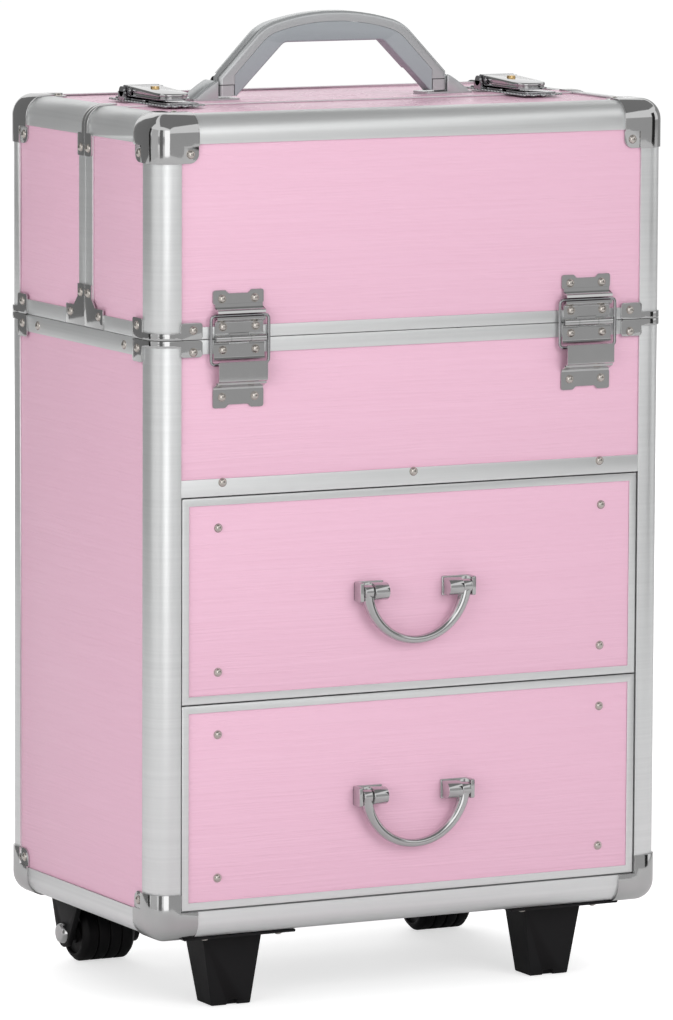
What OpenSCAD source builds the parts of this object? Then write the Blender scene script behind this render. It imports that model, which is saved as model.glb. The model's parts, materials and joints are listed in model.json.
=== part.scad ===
/* [Case] */
// Width over the edge rails
case_w = 350; // [340:1:420]
// Depth over the edge rails
case_d = 212; // [206:1:260]
// Height of the drawer cabinet below the lid seam
base_h = 366; // [345:1:420]
// Height of the butterfly lid
lid_h = 135; // [132:1:160]
// Depth of the front half of the lid
front_lid_d = 98; // [96:1:102]
// Height of the cabinet's underside above the floor
foot_h = 47; // [44:1:60]
// Gap between the lids and the cabinet, and between the lid halves
seam_gap = 0.4; // [0.3:0.1:0.6]

/* [Panels and rails] */
// Thickness of the laminated panels
panel_t = 4; // [3:0.5:5]
// Wall thickness of the aluminium rails
rail_t = 1.2; // [1:0.1:1.5]
// Width of an edge rail's leg on each face
rail_leg = 17.5; // [16.5:0.5:18.5]
// Outer radius of the edge rails
rail_r = 12; // [10:0.5:13]
// Play of a panel inside a rail's slot
panel_play = 0.2; // [0.1:0.1:0.4]
// Height of the rim rail on the front and back of the lids
lid_rim_h = 7.4; // [6.5:0.1:8]
// Height of the rim rail on the front and back of the cabinet
base_rim_h = 8.8; // [7.5:0.1:9.5]
// Extra height of the rim rails on the sides
side_rim_extra = 1.8; // [1:0.1:2.5]
// Width of the channels that edge the lids at the split
split_rail_w = 9.5; // [9:0.1:11]
// Height of the fixed front panel above the drawers
apron_h = 95.2; // [90:0.2:100]
// Height of the trim rail under the fixed front panel
apron_rail_h = 10.6; // [9:0.2:12]

/* [Corner fittings] */
// Sheet thickness of the corner caps and brackets
cap_t = 1; // [0.8:0.1:1.2]
// Reach of a corner cap along each edge
cap_reach = 29; // [27:0.5:32]
// Radius of a corner cap's riveted tabs
cap_tab_r = 6; // [4:0.5:7]
// Distance of a cap's rivets from the case's corner planes
cap_rivet_inset = 23.5; // [22.5:0.5:24]
// Radius of a rivet head
rivet_r = 2.9; // [2.4:0.1:3.1]
// Height of a rivet head
rivet_h = 1.6; // [1.2:0.1:2]
// Width of a rim bracket's tab on the front and back
bracket_w = 13.5; // [12:0.5:15]
// Height of a rim bracket's tab
bracket_h = 10.2; // [9.5:0.1:11]
// Height of the band that a rim bracket wraps round the post
bracket_band_h = 4; // [3:0.5:5]

/* [Ring hinges] */
// Distance of the hinges from the case's sides
hinge_inset = 55.5; // [50:0.5:60]
// Width of a hinge
hinge_w = 34; // [32:1:36]
// Sheet thickness of a hinge leaf
leaf_t = 1; // [0.8:0.1:1.2]
// Distance of a hinge's pivot outside the face
hinge_out = 2.5; // [2.4:0.1:2.7]
// Outer radius of a hinge's knuckles
knuckle_r = 2.2; // [2:0.1:2.3]
// Radius of a hinge pin
hinge_pin_r = 1.25; // [1.1:0.05:1.3]
// Radial clearance of a pin in its bore
pin_play = 0.05; // [0.03:0.01:0.08]
// Height of the ring's bars above and below the seam
ring_z = 14; // [13.6:0.2:14.4]
// Distance of the ring's wire outside the face
ring_out = 1.9; // [1.7:0.1:2]
// Radius of the ring's wire
ring_wire_r = 1.1; // [0.9:0.1:1.1]
// Distance of the ring's arms from the hinge's middle
ring_arm_x = 18.9; // [18.5:0.1:19.5]

/* [Latches] */
// Distance of the latches inwards from midway between the handle and the side rails
latch_inset = 4; // [0:0.5:5]
// Width of a latch lever
latch_w = 24; // [20:1:26]
// Distance of the latch pivot behind the lid split
latch_pivot_y = 28; // [26:1:30]
// Height of the latch pivot above the lid
latch_pivot_z = 6; // [5.9:0.1:6.5]
// Radius of the lever's rounded rear end
latch_round_r = 4; // [3.6:0.1:4.1]
// Thickness of the latch plates
latch_plate_t = 1.5; // [1.2:0.1:1.6]
// Reach of the lever in front of the lid split
latch_reach = 24; // [23:0.5:26]

/* [Carry handle] */
// Distance of the handle's middle plane behind the lid split
handle_y = 20; // [19:0.5:24]
// Width of the grip from front to back
grip_w = 19; // [17:0.5:19]
// Half width of the arch inside, at the top
grip_in_top_x = 34.5; // [32:0.5:37]
// Half width of the arch inside, at the foot
grip_in_foot_x = 67; // [65:0.5:69]
// Height of the arch inside
grip_in_z = 34.5; // [32:0.5:38]
// Height of the arch over the lid
grip_top_z = 53.5; // [51:0.5:56]
// Radius of the arch over its crown
grip_crown_r = 145; // [135:1:155]
// Half width of the crown
grip_crown_x = 41; // [38:1:44]
// Radius of the arch's shoulders
grip_shoulder_r = 30; // [26:1:34]
// Slope of the legs' outer edges, in degrees
grip_slope = 46; // [44:1:48]
// Half width of the handle's barrels at their outer faces
barrel_x = 80.5; // [79:0.5:82]
// Height of the handle's pivot above the lid
handle_pivot_z = 8; // [8:0.5:9]
// Radius of the handle's barrels
barrel_r = 6.5; // [6:0.1:6.5]
// Radius of the handle's pivot pins
handle_pin_r = 2.5; // [2:0.1:3]
// Length of the fins outside the barrels
fin_len = 17; // [15:1:20]
// Height of the fins
fin_h = 12; // [11:0.5:14]

/* [Drawers] */
// Gap round the drawer fronts
drawer_gap = 0.9; // [0.8:0.1:1.2]
// Distance of the drawer fronts behind the rails' faces
drawer_recess = 0.5; // [0.3:0.1:0.8]
// Width of the trim round a drawer front
trim_w = 4.7; // [4:0.1:6]
// Thickness of the trim's face
trim_t = 1; // [0.8:0.1:1.2]
// Width of a drawer's slide between its box and the post rails
slide_w = 8.6; // [8:0.2:16]
// Outside depth of a drawer box
drawer_box_d = 190; // [170:1:191]
// Outside height of a drawer box
drawer_box_h = 96; // [80:1:100]
// Wall thickness of a drawer box
drawer_wall = 5; // [4:0.5:6]
// Height of a drawer box's underside above the lower edge of its front
drawer_box_lift = 8; // [7:0.5:10]
// Height of a runner's slot
runner_h = 10; // [8:0.5:12]
// Length of a runner
runner_len = 174; // [160:1:175]
// Inset of the rivets on a drawer front from its edges
front_rivet_inset = 24.5; // [20:0.5:30]
// Height of those rivets above and below the middle
front_rivet_z = 44; // [36:0.5:48]

/* [Drawer pulls] */
// Distance of a pull's posts from the middle
post_x = 30.1; // [29.5:0.1:31]
// Distance of the bail's ends from the middle
bail_half_w = 33.7; // [33:0.1:34.5]
// Width of a post
post_w = 19.6; // [18:0.1:20]
// Height of a post
post_h = 12; // [11:0.5:13]
// Distance of the bail's plane in front of the drawer
bail_out = 6.7; // [6.5:0.1:7.5]
// Radius of the bail's bar
bail_r = 2.3; // [2:0.1:2.5]
// Drop of the bail's outer edge below its pivots
bail_drop = 33.8; // [32:0.1:38]
// Radius of the bail's pivot pins
bail_pin_r = 1.8; // [1.6:0.1:2]
// Width of the slot in a post that takes the bail's eye
eye_slot_w = 6.8; // [6.2:0.1:7.2]
// Outer radius of the bail's eyes
eye_r = 5; // [4.4:0.1:5]

/* [Feet and wheels] */
// Distance of the front feet from the case's sides
foot_side_inset = 65; // [64:1:80]
// Distance of the front feet from the front face
foot_inset = 22; // [21:1:26]
// Width of a front foot at the top
foot_top_w = 37; // [34:1:40]
// Width of a front foot at the floor
foot_low_w = 24.5; // [22:0.5:28]
// Depth of a front foot at the top
foot_top_d = 27; // [24:1:30]
// Depth of a front foot at the floor
foot_low_d = 20; // [18:1:22]
// Width of the flange over a front foot
flange_w = 70; // [66:1:71]
// Thickness of the flanges on the feet and brackets
flange_t = 1.8; // [1.6:0.1:3]
// Distance of the wheels from the case's sides
wheel_side_inset = 54.5; // [54:0.5:70]
// Distance of the wheels' axle from the back face
axle_inset = 17; // [16:0.5:19]
// Radius of a wheel
wheel_r = 18.5; // [17:0.5:19]
// Width of a wheel
wheel_w = 36; // [32:1:38]
// Gap between a wheel and its bracket's cheeks
wheel_side_gap = 3.2; // [2.5:0.1:3.5]
// Radius of the wheels' axles
axle_r = 3; // [2.5:0.1:3.5]
// Wall thickness of a wheel bracket's cheeks
cheek_t = 3.5; // [3:0.5:4]

/* [Trays] */
// Distance of the tray arms' pivots below the seam
arm_pivot_dz = 6; // [5.5:0.1:6.5]
// Distance of the inner arms' pivots from the case's middle
arm_y = 62; // [61:0.5:63]
// Distance between the inner and outer arms
arm_gap = 22; // [21:0.5:23]
// Lean of the arms towards the middle when the lid is closed
arm_lean = 30; // [29:1:31]
// Distance from an arm's pivot to the lower tray's pin
arm_low_r = 45; // [44:1:46]
// Distance from an arm's pivot to the upper tray's pin
arm_high_r = 95; // [94:1:96]
// Half width of an arm
arm_half_w = 6; // [5:0.5:6.5]
// Thickness of an arm
arm_t = 2; // [1.5:0.1:2]
// Radius of the arms' pins
arm_pin_r = 2.5; // [2:0.1:2.8]
// Side play between the arms and their neighbours
arm_play = 0.5; // [0.4:0.1:0.8]
// Thickness of the pivot straps
strap_t = 2.2; // [2:0.1:2.5]
// Height of a tray
tray_h = 30; // [26:1:30]
// Wall thickness of a tray
tray_wall = 2; // [1.5:0.5:2.5]
// Depth of a tray from front to back
tray_d = 78; // [74:1:79]
// Height of a tray's pins above its underside
tray_pin_lift = 10; // [9.5:0.5:11]

/* [Telescopic handle] */
// Distance of the telescopic tubes from the middle
tube_x = 70; // [60:1:78]
// Width of an outer tube
tube_w = 24; // [22:1:26]
// Depth of an outer tube
tube_d = 14; // [13:0.5:15]
// Wall thickness of the tubes
tube_wall = 1.2; // [1:0.1:1.3]
// Running clearance between the tubes
tube_play = 0.35; // [0.3:0.05:0.5]
// Length of the outer tubes
tube_len = 300; // [290:1:320]
// Distance of the tubes' top below the seam
tube_top_dz = 42; // [40:1:50]
// Height of the telescopic grip
pull_h = 24; // [22:1:26]

/* [Hidden] */

$fn = 48;
big = 600;
half_w = case_w / 2;
half_d = case_d / 2;
half_gap = seam_gap / 2;
seam_z = foot_h + base_h;
top_z = seam_z + lid_h;
rear_lid_d = case_d - front_lid_d;
split_y = front_lid_d - half_d;
rail_depth = 2 * rail_t + panel_t;
panel_in = rail_t + panel_t;
slot_x = half_w - rail_r - panel_play;
slot_y = half_d - rail_r - panel_play;
post_in_x = half_w - rail_leg;
post_in_y = half_d - rail_leg;
apron_z = seam_z - apron_h;
drawer_half = post_in_x - drawer_gap;
drawer_box_w = 2 * (drawer_half - slide_w);
hinge_x = half_w - hinge_inset;
foot_x = half_w - foot_side_inset;
wheel_x = half_w - wheel_side_inset;
handle_end_x = barrel_x + 1 + fin_len;
latch_x = (handle_end_x + post_in_x) / 2 - latch_inset;

pink = [0.94, 0.75, 0.84];
alu = [0.85, 0.855, 0.86];
chrome = [0.72, 0.72, 0.72];
nickel = [0.82, 0.78, 0.73];
brass = [0.8, 0.62, 0.35];
black = [0.13, 0.12, 0.13];
grey = [0.66, 0.69, 0.71];
lining = [0.2, 0.2, 0.21];

// ---- frames of reference ----

module along_x(from, to) {
    translate([from, 0, 0]) rotate([90, 0, 90]) linear_extrude(to - from) children();
}

module along_y(from, to) {
    translate([0, to, 0]) rotate([90, 0, 0]) linear_extrude(to - from) children();
}

module along_z(from, to) {
    translate([0, 0, from]) linear_extrude(to - from) children();
}

module both_sides() {
    children();
    mirror([1, 0, 0]) children();
}

module front_and_back() {
    children();
    mirror([0, 1, 0]) children();
}

// ---- sections and small shapes ----

// A square with one round corner at the origin.
module round_corner(side, r) {
    difference() {
        square(side);
        difference() {
            square(r);
            translate([r, r]) circle(r);
        }
    }
}

// A rectangle from [0, 0] with all four corners round.
module round_rect(w, h, r) {
    translate([r, 0]) square([w - 2 * r, h]);
    translate([0, r]) square([w, h - 2 * r]);
    for (x = [r, w - r], y = [r, h - r]) translate([x, y]) circle(r);
}

// Edge rail: a hollow quarter round with a slot for a panel in each leg.
module edge_section() {
    difference() {
        round_corner(rail_leg, rail_r);
        translate([rail_depth, rail_depth]) square(rail_leg);
        translate([rail_r, rail_t]) square([rail_leg, panel_t]);
        translate([rail_t, rail_r]) square([panel_t, rail_leg]);
        difference() {
            translate([rail_t, rail_t]) round_corner(rail_r - 2 * rail_t, rail_r - rail_t);
            translate([panel_in, panel_in]) square(rail_leg);
        }
    }
}

// Channel over a panel's edge: x runs into the case, y away from the edge.
module channel_section(h) {
    difference() {
        square([rail_depth, h]);
        translate([rail_t, rail_t]) square([panel_t, h]);
    }
}

module rivet() {
    ball_r = (rivet_r * rivet_r + rivet_h * rivet_h) / (2 * rivet_h);
    intersection() {
        translate([0, 0, rivet_h - ball_r]) sphere(ball_r);
        translate([-ball_r, -ball_r, 0]) cube([2 * ball_r, 2 * ball_r, ball_r]);
    }
}

// Children lie on the front face, with z along the outward direction.
module on_front(x, z, out) {
    translate([x, -half_d - out, z]) rotate([90, 0, 0]) children();
}

module on_left(y, z, out) {
    translate([-half_w - out, y, z]) rotate([0, -90, 0]) children();
}

module on_top(x, y, out) {
    translate([x, y, top_z + out]) children();
}

// ---- corner caps ----

// The case's corner grown to radius r: its three faces, edges and ball.
module corner_solid(r, reach) {
    run = reach - rail_r;
    translate([rail_r, rail_r, rail_r]) intersection() {
        translate([-r, -r, -r]) cube(run + r);
        union() {
            sphere(r);
            cylinder(h = run, r = r);
            rotate([0, 90, 0]) cylinder(h = run, r = r);
            rotate([-90, 0, 0]) cylinder(h = run, r = r);
            translate([-r, 0, 0]) cube([run + r, run, run]);
            translate([0, -r, 0]) cube([run, run + r, run]);
            translate([0, 0, -r]) cube([run, run, run + r]);
        }
    }
}

module corner_shell(r_out, r_in, reach) {
    difference() {
        corner_solid(r_out, reach);
        corner_solid(r_in, reach + 1);
    }
}

// A riveted tab on the face z = 0, stepped down from the rails to the panel.
module cap_tab() {
    side = cap_reach - rail_leg;
    translate([rail_leg, rail_leg, rail_t - cap_t]) linear_extrude(cap_t) difference() {
        square(side);
        translate([side - cap_tab_r, side - cap_tab_r]) difference() {
            square(cap_tab_r);
            circle(cap_tab_r);
        }
    }
    translate([rail_leg, rail_leg, -cap_t]) linear_extrude(rail_t + cap_t) {
        square([cap_t, side]);
        square([side, cap_t]);
    }
}

// Cap on the corner at the origin; tabs = faces with a tab, of x, y and z.
module corner_cap(tabs) {
    cut = [for (t = tabs) rail_leg + (t ? cap_t : 0)];
    difference() {
        corner_shell(rail_r + cap_t, rail_r, cap_reach);
        translate([-big / 2, cut[0], cut[0]]) cube([big, big, big]);
        translate([cut[1], -big / 2, cut[1]]) cube([big, big, big]);
        translate([cut[2], cut[2], -big / 2]) cube([big, big, big]);
    }
    corner_shell(rail_r, rail_r - rail_t, rail_leg - panel_play);
    if (tabs[0]) mirror([1, 0, -1]) cap_tab();
    if (tabs[1]) mirror([0, 1, -1]) cap_tab();
    if (tabs[2]) cap_tab();
}

// Bracket round a corner post at a rim, seen from the seam upwards (z = 0 is
// the seam): a tab on the front, a tab on the side and a band between them.
module rim_bracket(rim_h) {
    linear_extrude(bracket_band_h) difference() {
        translate([-half_w - cap_t, -half_d - cap_t])
            round_corner(rail_leg + cap_t, rail_r + cap_t);
        translate([-half_w, -half_d]) round_corner(big, rail_r);
    }
    translate([-post_in_x - cap_t, -half_d, 0]) rotate([90, 0, 0])
        linear_extrude(cap_t) round_rect(bracket_w + cap_t, bracket_h, 2);
    translate([-half_w - cap_t, -post_in_y - cap_t, 0]) rotate([90, 0, 90])
        linear_extrude(cap_t) round_rect(bracket_w, rim_h + 3.2, 2);
}

// ---- cabinet ----

module base_walls() color(pink) {
    wall_z = foot_h + rail_r + panel_play;
    wall_top = seam_z - half_gap - rail_t - panel_play;
    both_sides() translate([-half_w + rail_t, -slot_y, wall_z])
        cube([panel_t, 2 * slot_y, wall_top - wall_z]);
    translate([-slot_x, half_d - panel_in, wall_z])
        cube([2 * slot_x, panel_t, wall_top - wall_z]);
}

module base_floors() color(lining) {
    translate([-slot_x, -slot_y, foot_h + rail_t]) cube([2 * slot_x, 2 * slot_y, panel_t]);
    along_z(apron_z, apron_z + panel_t) {
        clear_y = post_in_y - panel_play;
        translate([-half_w + panel_in, -clear_y]) square([case_w - 2 * panel_in, 2 * clear_y]);
        translate([-half_w + rail_depth, -half_d + rail_depth])
            square([case_w - 2 * rail_depth, case_d - 2 * rail_depth]);
        translate([-post_in_x + panel_play, 0])
            square([2 * (post_in_x - panel_play), half_d - panel_in]);
    }
}

module front_apron_panel() color(pink) {
    low = apron_z + rail_t + panel_play;
    high = seam_z - half_gap - rail_t - panel_play;
    translate([-slot_x, -half_d + rail_t, low]) cube([2 * slot_x, panel_t, high - low]);
}

module base_edge_rails() color(alu) {
    front_and_back() both_sides() translate([-half_w, -half_d, 0])
        along_z(foot_h + rail_leg, seam_z - half_gap) edge_section();
    front_and_back() translate([0, -half_d, foot_h])
        along_x(-post_in_x, post_in_x) edge_section();
    both_sides() translate([-half_w, 0, foot_h]) along_y(-post_in_y, post_in_y) edge_section();
}

module base_rim_rails() color(alu) translate([0, 0, seam_z - half_gap]) mirror([0, 0, 1]) {
    front_and_back() translate([0, -half_d, 0])
        along_x(-post_in_x, post_in_x) channel_section(base_rim_h);
    both_sides() translate([-half_w, 0, 0])
        along_y(-post_in_y, post_in_y) channel_section(base_rim_h + side_rim_extra);
}

module apron_trim_rail() color(alu) translate([0, -half_d, apron_z])
    along_x(-post_in_x, post_in_x) channel_section(apron_rail_h);

module base_corner_fittings() color(chrome) {
    both_sides() translate([-half_w, -half_d, foot_h]) corner_cap([true, false, false]);
    mirror([0, 1, 0]) both_sides() translate([-half_w, -half_d, foot_h])
        corner_cap([true, true, false]);
    front_and_back() both_sides() translate([0, 0, seam_z - half_gap]) mirror([0, 0, 1])
        rim_bracket(base_rim_h + side_rim_extra);
}

// Places of the rivets: distances from the seam, the split and the middle.
bracket_rivet_x = post_in_x - bracket_w / 2 - 0.6;
bracket_rivet_y = -post_in_y + bracket_w / 2 - 0.5;
base_bracket_rivet_z = seam_z - 7.4;
lid_bracket_rivet_z = seam_z + 5.9;
base_side_rivet_z = seam_z - 5.8;
lid_side_rivet_z = seam_z + 8;
side_low_rivets = [-62.7, 61.5];
apron_rivet_x = half_w - 45;
hinge_rivet_x = 11;
base_leaf_rivets = [6.8, 35.4];
lid_leaf_rivets = [7.2, 24];
foot_rivet_inset = 10;
foot_rivet_y = 9;

module base_fasteners() color(nickel) {
    front_and_back() both_sides() {
        on_front(bracket_rivet_x, base_bracket_rivet_z, cap_t) rivet();
        on_left(bracket_rivet_y, base_side_rivet_z, cap_t) rivet();
        on_left(-half_d + cap_rivet_inset, foot_h + cap_rivet_inset, cap_t - rail_t) rivet();
    }
    mirror([0, 1, 0]) both_sides()
        on_front(half_w - cap_rivet_inset, foot_h + cap_rivet_inset, cap_t - rail_t) rivet();
    both_sides() for (y = side_low_rivets) on_left(y, base_side_rivet_z, 0) rivet();
    for (x = [-apron_rivet_x, 0, apron_rivet_x]) on_front(x, apron_z + apron_rail_h - 2 * rail_t, 0) rivet();
    front_and_back() both_sides() for (x = [-hinge_rivet_x, hinge_rivet_x]) {
        on_front(hinge_x + x, seam_z - base_leaf_rivets[0], leaf_t) rivet();
        on_front(hinge_x + x, seam_z - base_leaf_rivets[1], leaf_t - rail_t) rivet();
    }
    both_sides() for (x = [-1, 1], y = [-1, 1])
        translate([foot_x + x * (flange_w / 2 - foot_rivet_inset), foot_y + y * foot_rivet_y,
            foot_h - flange_t]) mirror([0, 0, 1]) rivet();
}

// Runners: a steel channel on a batten for each side of each drawer.
runner_wall = 1.6;
channel_in = drawer_box_w / 2 + runner_wall;
channel_out = drawer_half;
runner_y = -post_in_y + 0.8;

module drawer_runners() color(grey) both_sides() for (z = drawer_z) {
    mid = z + drawer_box_lift + drawer_box_h / 2;
    slot = runner_h / 2 + tube_play;
    translate([0, runner_y, mid]) {
        difference() {
            translate([-half_w + panel_in, 0, -runner_h])
                cube([half_w - panel_in - channel_in, runner_len, 2 * runner_h]);
            translate([-channel_out - tube_play, -1, -slot])
                cube([big, runner_len + 2, 2 * slot]);
            // Lightening step: the batten behind the channel is lower than its flanges.
            for (s = [0, 1]) mirror([0, 0, s]) translate([-half_w, -1, slot + runner_wall])
                cube([half_w - channel_out - 2, runner_len + 2, runner_h]);
        }
    }
}

foot_y = -half_d + foot_inset;

foot_edge = 1;
foot_slope_y = 3;
foot_notch = 6;
foot_notch_h = 3;

module front_feet() color(black) both_sides() {
    translate([foot_x - flange_w / 2, foot_y - foot_top_d / 2, foot_h - flange_t])
        cube([flange_w, 3 * foot_top_d / 2, flange_t]);
    translate([foot_x, foot_y, 0]) difference() {
        hull() {
            translate([-foot_low_w / 2, foot_slope_y, 0])
                cube([foot_low_w, foot_low_d, foot_edge]);
            translate([-foot_top_w / 2, 0, foot_h - flange_t - foot_edge])
                cube([foot_top_w, foot_top_d, foot_edge]);
        }
        translate([-foot_notch / 2, -1, -1])
            cube([foot_notch, foot_notch / 3 + foot_slope_y + 1, foot_notch_h + 1]);
    }
}

axle_y = half_d - axle_inset;
cheek_in = wheel_w / 2 + wheel_side_gap;
cheek_boss_r = 9;
bracket_front = 24;
bracket_over = 2;

// Side outline of a cheek: wide at the case, narrowing to the axle.
module cheek_outline() {
    hull() {
        translate([axle_y, wheel_r]) circle(cheek_boss_r);
        translate([axle_y - bracket_front, foot_h - flange_t - foot_edge])
            square([bracket_front + axle_inset + bracket_over, foot_edge]);
    }
}

module wheel_brackets() color(black) both_sides() translate([wheel_x, 0, 0]) {
    difference() {
        union() {
            along_x(cheek_in, cheek_in + cheek_t) cheek_outline();
            along_x(-cheek_in - cheek_t, -cheek_in) cheek_outline();
        }
        translate([-big / 2, axle_y, wheel_r]) rotate([0, 90, 0])
            cylinder(h = big, r = axle_r + pin_play);
    }
    translate([-cheek_in - cheek_t, axle_y - bracket_front, foot_h - flange_t])
        cube([2 * (cheek_in + cheek_t), bracket_front + axle_inset + bracket_over, flange_t]);
}

axle_head_r = 7;
axle_head_t = 3;
axle_clip_t = 1.5;
wheel_chamfer = 3;
wheel_hub_t = 2.5;
wheel_groove = 1.2;
wheel_groove_step = 8;
wheel_face_t = 2;

module wheel(side) color(black) translate([side * wheel_x, axle_y, wheel_r])
    rotate([0, 90, 0]) difference() {
        union() {
            cylinder(h = wheel_w - 2 * wheel_chamfer, r = wheel_r, center = true);
            for (s = [0, 1]) mirror([0, 0, s])
                translate([0, 0, wheel_w / 2 - wheel_chamfer])
                    cylinder(h = wheel_chamfer, r1 = wheel_r, r2 = wheel_r - wheel_chamfer);
            cylinder(h = 2 * (cheek_in - arm_play), r = axle_r + wheel_hub_t, center = true);
        }
        cylinder(h = big, r = axle_r + pin_play, center = true);
        for (z = [-1, 0, 1]) translate([0, 0, z * wheel_groove_step]) difference() {
            cylinder(h = wheel_groove, r = wheel_r + 1, center = true);
            cylinder(h = 2 * wheel_groove, r = wheel_r - wheel_groove, center = true);
        }
        for (s = [0, 1]) mirror([0, 0, s])
            translate([0, 0, wheel_w / 2 - wheel_face_t]) difference() {
                cylinder(h = wheel_face_t + 1, r = wheel_r - wheel_chamfer - 2);
                translate([0, 0, -1]) cylinder(h = wheel_face_t + 3, r = axle_r + 4);
            }
    }

module left_wheel() wheel(-1);

module right_wheel() wheel(1);

module hinge_pins_and_axles() color(chrome) {
    front_and_back() both_sides() translate([hinge_x, -half_d - hinge_out, seam_z])
        rotate([0, 90, 0]) cylinder(h = hinge_w, r = hinge_pin_r, center = true);
    both_sides() translate([wheel_x, axle_y, wheel_r]) rotate([0, 90, 0]) {
        cylinder(h = 2 * (cheek_in + cheek_t), r = axle_r, center = true);
        translate([0, 0, cheek_in + cheek_t])
            cylinder(h = axle_head_t, r1 = axle_head_r, r2 = axle_head_r - 1.5);
        translate([0, 0, -cheek_in - cheek_t - axle_clip_t])
            cylinder(h = axle_clip_t, r = axle_r + 2);
    }
}

// ---- hinges: x along the pin, y outwards is negative, z from the seam ----

knuckle_len = 10.2;
knuckle_gap = 0.2;
plate_start = 3;
plate_end = ring_z - ring_wire_r - 0.9;
notch_w = 13.4;
notch_h = 2;
lid_leaf_end = 29.2;
base_leaf_end = 42;
base_pocket = 12;

// Knuckles between x = from and x = to, with the strip that joins them to a plate above.
module knuckle(from, to) {
    along_x(from, to) difference() {
        union() {
            translate([-hinge_out, 0]) circle(knuckle_r);
            translate([-leaf_t, half_gap + 0.1]) square([leaf_t, plate_start]);
        }
        translate([-hinge_out, 0]) circle(hinge_pin_r + pin_play);
    }
}

module leaf_plate() {
    along_x(-hinge_w / 2, hinge_w / 2) translate([-leaf_t, plate_start])
        square([leaf_t, plate_end - plate_start]);
}

// The sheet that holds the ring: cover from z0 to z1 at distance out, then a
// bend down to a riveted foot on the panel that ends at z2 with a notch.
module ring_holder(out, z0, z1, z2) {
    drop = out + rail_t;
    difference() {
        along_x(-hinge_w / 2, hinge_w / 2) polygon([
            [-out, z0], [-out - leaf_t, z0], [-out - leaf_t, z1],
            [rail_t - leaf_t, z1 + drop], [rail_t - leaf_t, z2],
            [rail_t, z2], [rail_t, z1 + drop - 0.4], [-out, z1 - 0.4]]);
        translate([-notch_w / 2, -5, z2 - notch_h]) cube([notch_w, 10, notch_h + 1]);
    }
}

lid_ring_cover = ring_out + ring_wire_r + 0.4;
base_ring_cover = 5.45;

module lid_leaf() {
    half_mid = hinge_w / 2 - knuckle_len - knuckle_gap;
    knuckle(-half_mid, half_mid);
    leaf_plate();
    ring_holder(lid_ring_cover, ring_z - 1.4, ring_z + 1.6, lid_leaf_end);
}

module base_leaf() mirror([0, 0, 1]) {
    for (s = [0, 1]) mirror([s, 0, 0]) knuckle(hinge_w / 2 - knuckle_len, hinge_w / 2);
    leaf_plate();
    ring_holder(base_ring_cover, ring_z - 0.4, ring_z - 0.4 + base_pocket, base_leaf_end);
}

module at_hinges() both_sides() translate([hinge_x, -half_d, seam_z]) children();

module hinge_base_leaves() color(chrome) front_and_back() at_hinges() base_leaf();

module front_hinge_lid_leaves() color(chrome) at_hinges() lid_leaf();

module rear_hinge_lid_leaves() color(chrome) mirror([0, 1, 0]) at_hinges() lid_leaf();

module hinge_rings() color(chrome) at_hinges() translate([0, -ring_out, 0]) {
    for (z = [-ring_z, ring_z]) translate([0, 0, z]) rotate([0, 90, 0])
        cylinder(h = 2 * ring_arm_x, r = ring_wire_r, center = true, $fn = 24);
    for (x = [-ring_arm_x, ring_arm_x]) translate([x, 0, 0]) {
        cylinder(h = 2 * ring_z, r = ring_wire_r, center = true, $fn = 24);
        for (z = [-ring_z, ring_z]) translate([0, 0, z]) sphere(ring_wire_r, $fn = 24);
    }
}

module front_hinge_rings() hinge_rings();

module rear_hinge_rings() mirror([0, 1, 0]) hinge_rings();

// ---- lids, written for the front half; d = depth of the half ----

module lid_walls(d) {
    low = seam_z + half_gap + rail_t + panel_play;
    high = top_z - rail_r - panel_play;
    back = -half_d + d - half_gap - rail_t - panel_play;
    translate([-slot_x, -half_d + rail_t, low]) cube([2 * slot_x, panel_t, high - low]);
    both_sides() translate([-half_w + rail_t, -slot_y, low])
        cube([panel_t, back + slot_y, high - low]);
}

module lid_top(d) {
    back = -half_d + d - half_gap - rail_t - panel_play;
    translate([-slot_x, -slot_y, top_z - panel_in]) cube([2 * slot_x, back + slot_y, panel_t]);
}

module lid_edge_rails(d) {
    split = -half_d + d - half_gap;
    both_sides() translate([-half_w, -half_d, 0])
        along_z(seam_z + half_gap, top_z - rail_leg) edge_section();
    translate([0, 0, top_z]) mirror([0, 0, 1]) {
        translate([0, -half_d, 0]) along_x(-post_in_x, post_in_x) edge_section();
        both_sides() translate([-half_w, 0, 0]) along_y(-post_in_y, split) edge_section();
    }
}

module lid_channels(d) {
    split = -half_d + d - half_gap;
    side_h = lid_rim_h + side_rim_extra;
    translate([0, -half_d, seam_z + half_gap])
        along_x(-post_in_x, post_in_x) channel_section(lid_rim_h);
    both_sides() {
        translate([-half_w, 0, seam_z + half_gap])
            along_y(-post_in_y, split) channel_section(side_h);
        translate([-half_w, split, 0]) mirror([0, 1, 0])
            along_z(seam_z + half_gap + side_h, top_z - rail_leg) channel_section(split_rail_w);
    }
    translate([-post_in_x, split, top_z]) rotate([0, 90, 0]) linear_extrude(2 * post_in_x)
        mirror([0, 1, 0]) channel_section(split_rail_w);
}

// Tab and band at the top of the split, and the angle bracket at its foot.
split_band_w = 3.5;
split_tab_h = 13;
split_angle_w = 26;
split_angle_h = 26;
split_angle_low = 12.4;
split_angle_bend = [15, 18];

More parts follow.
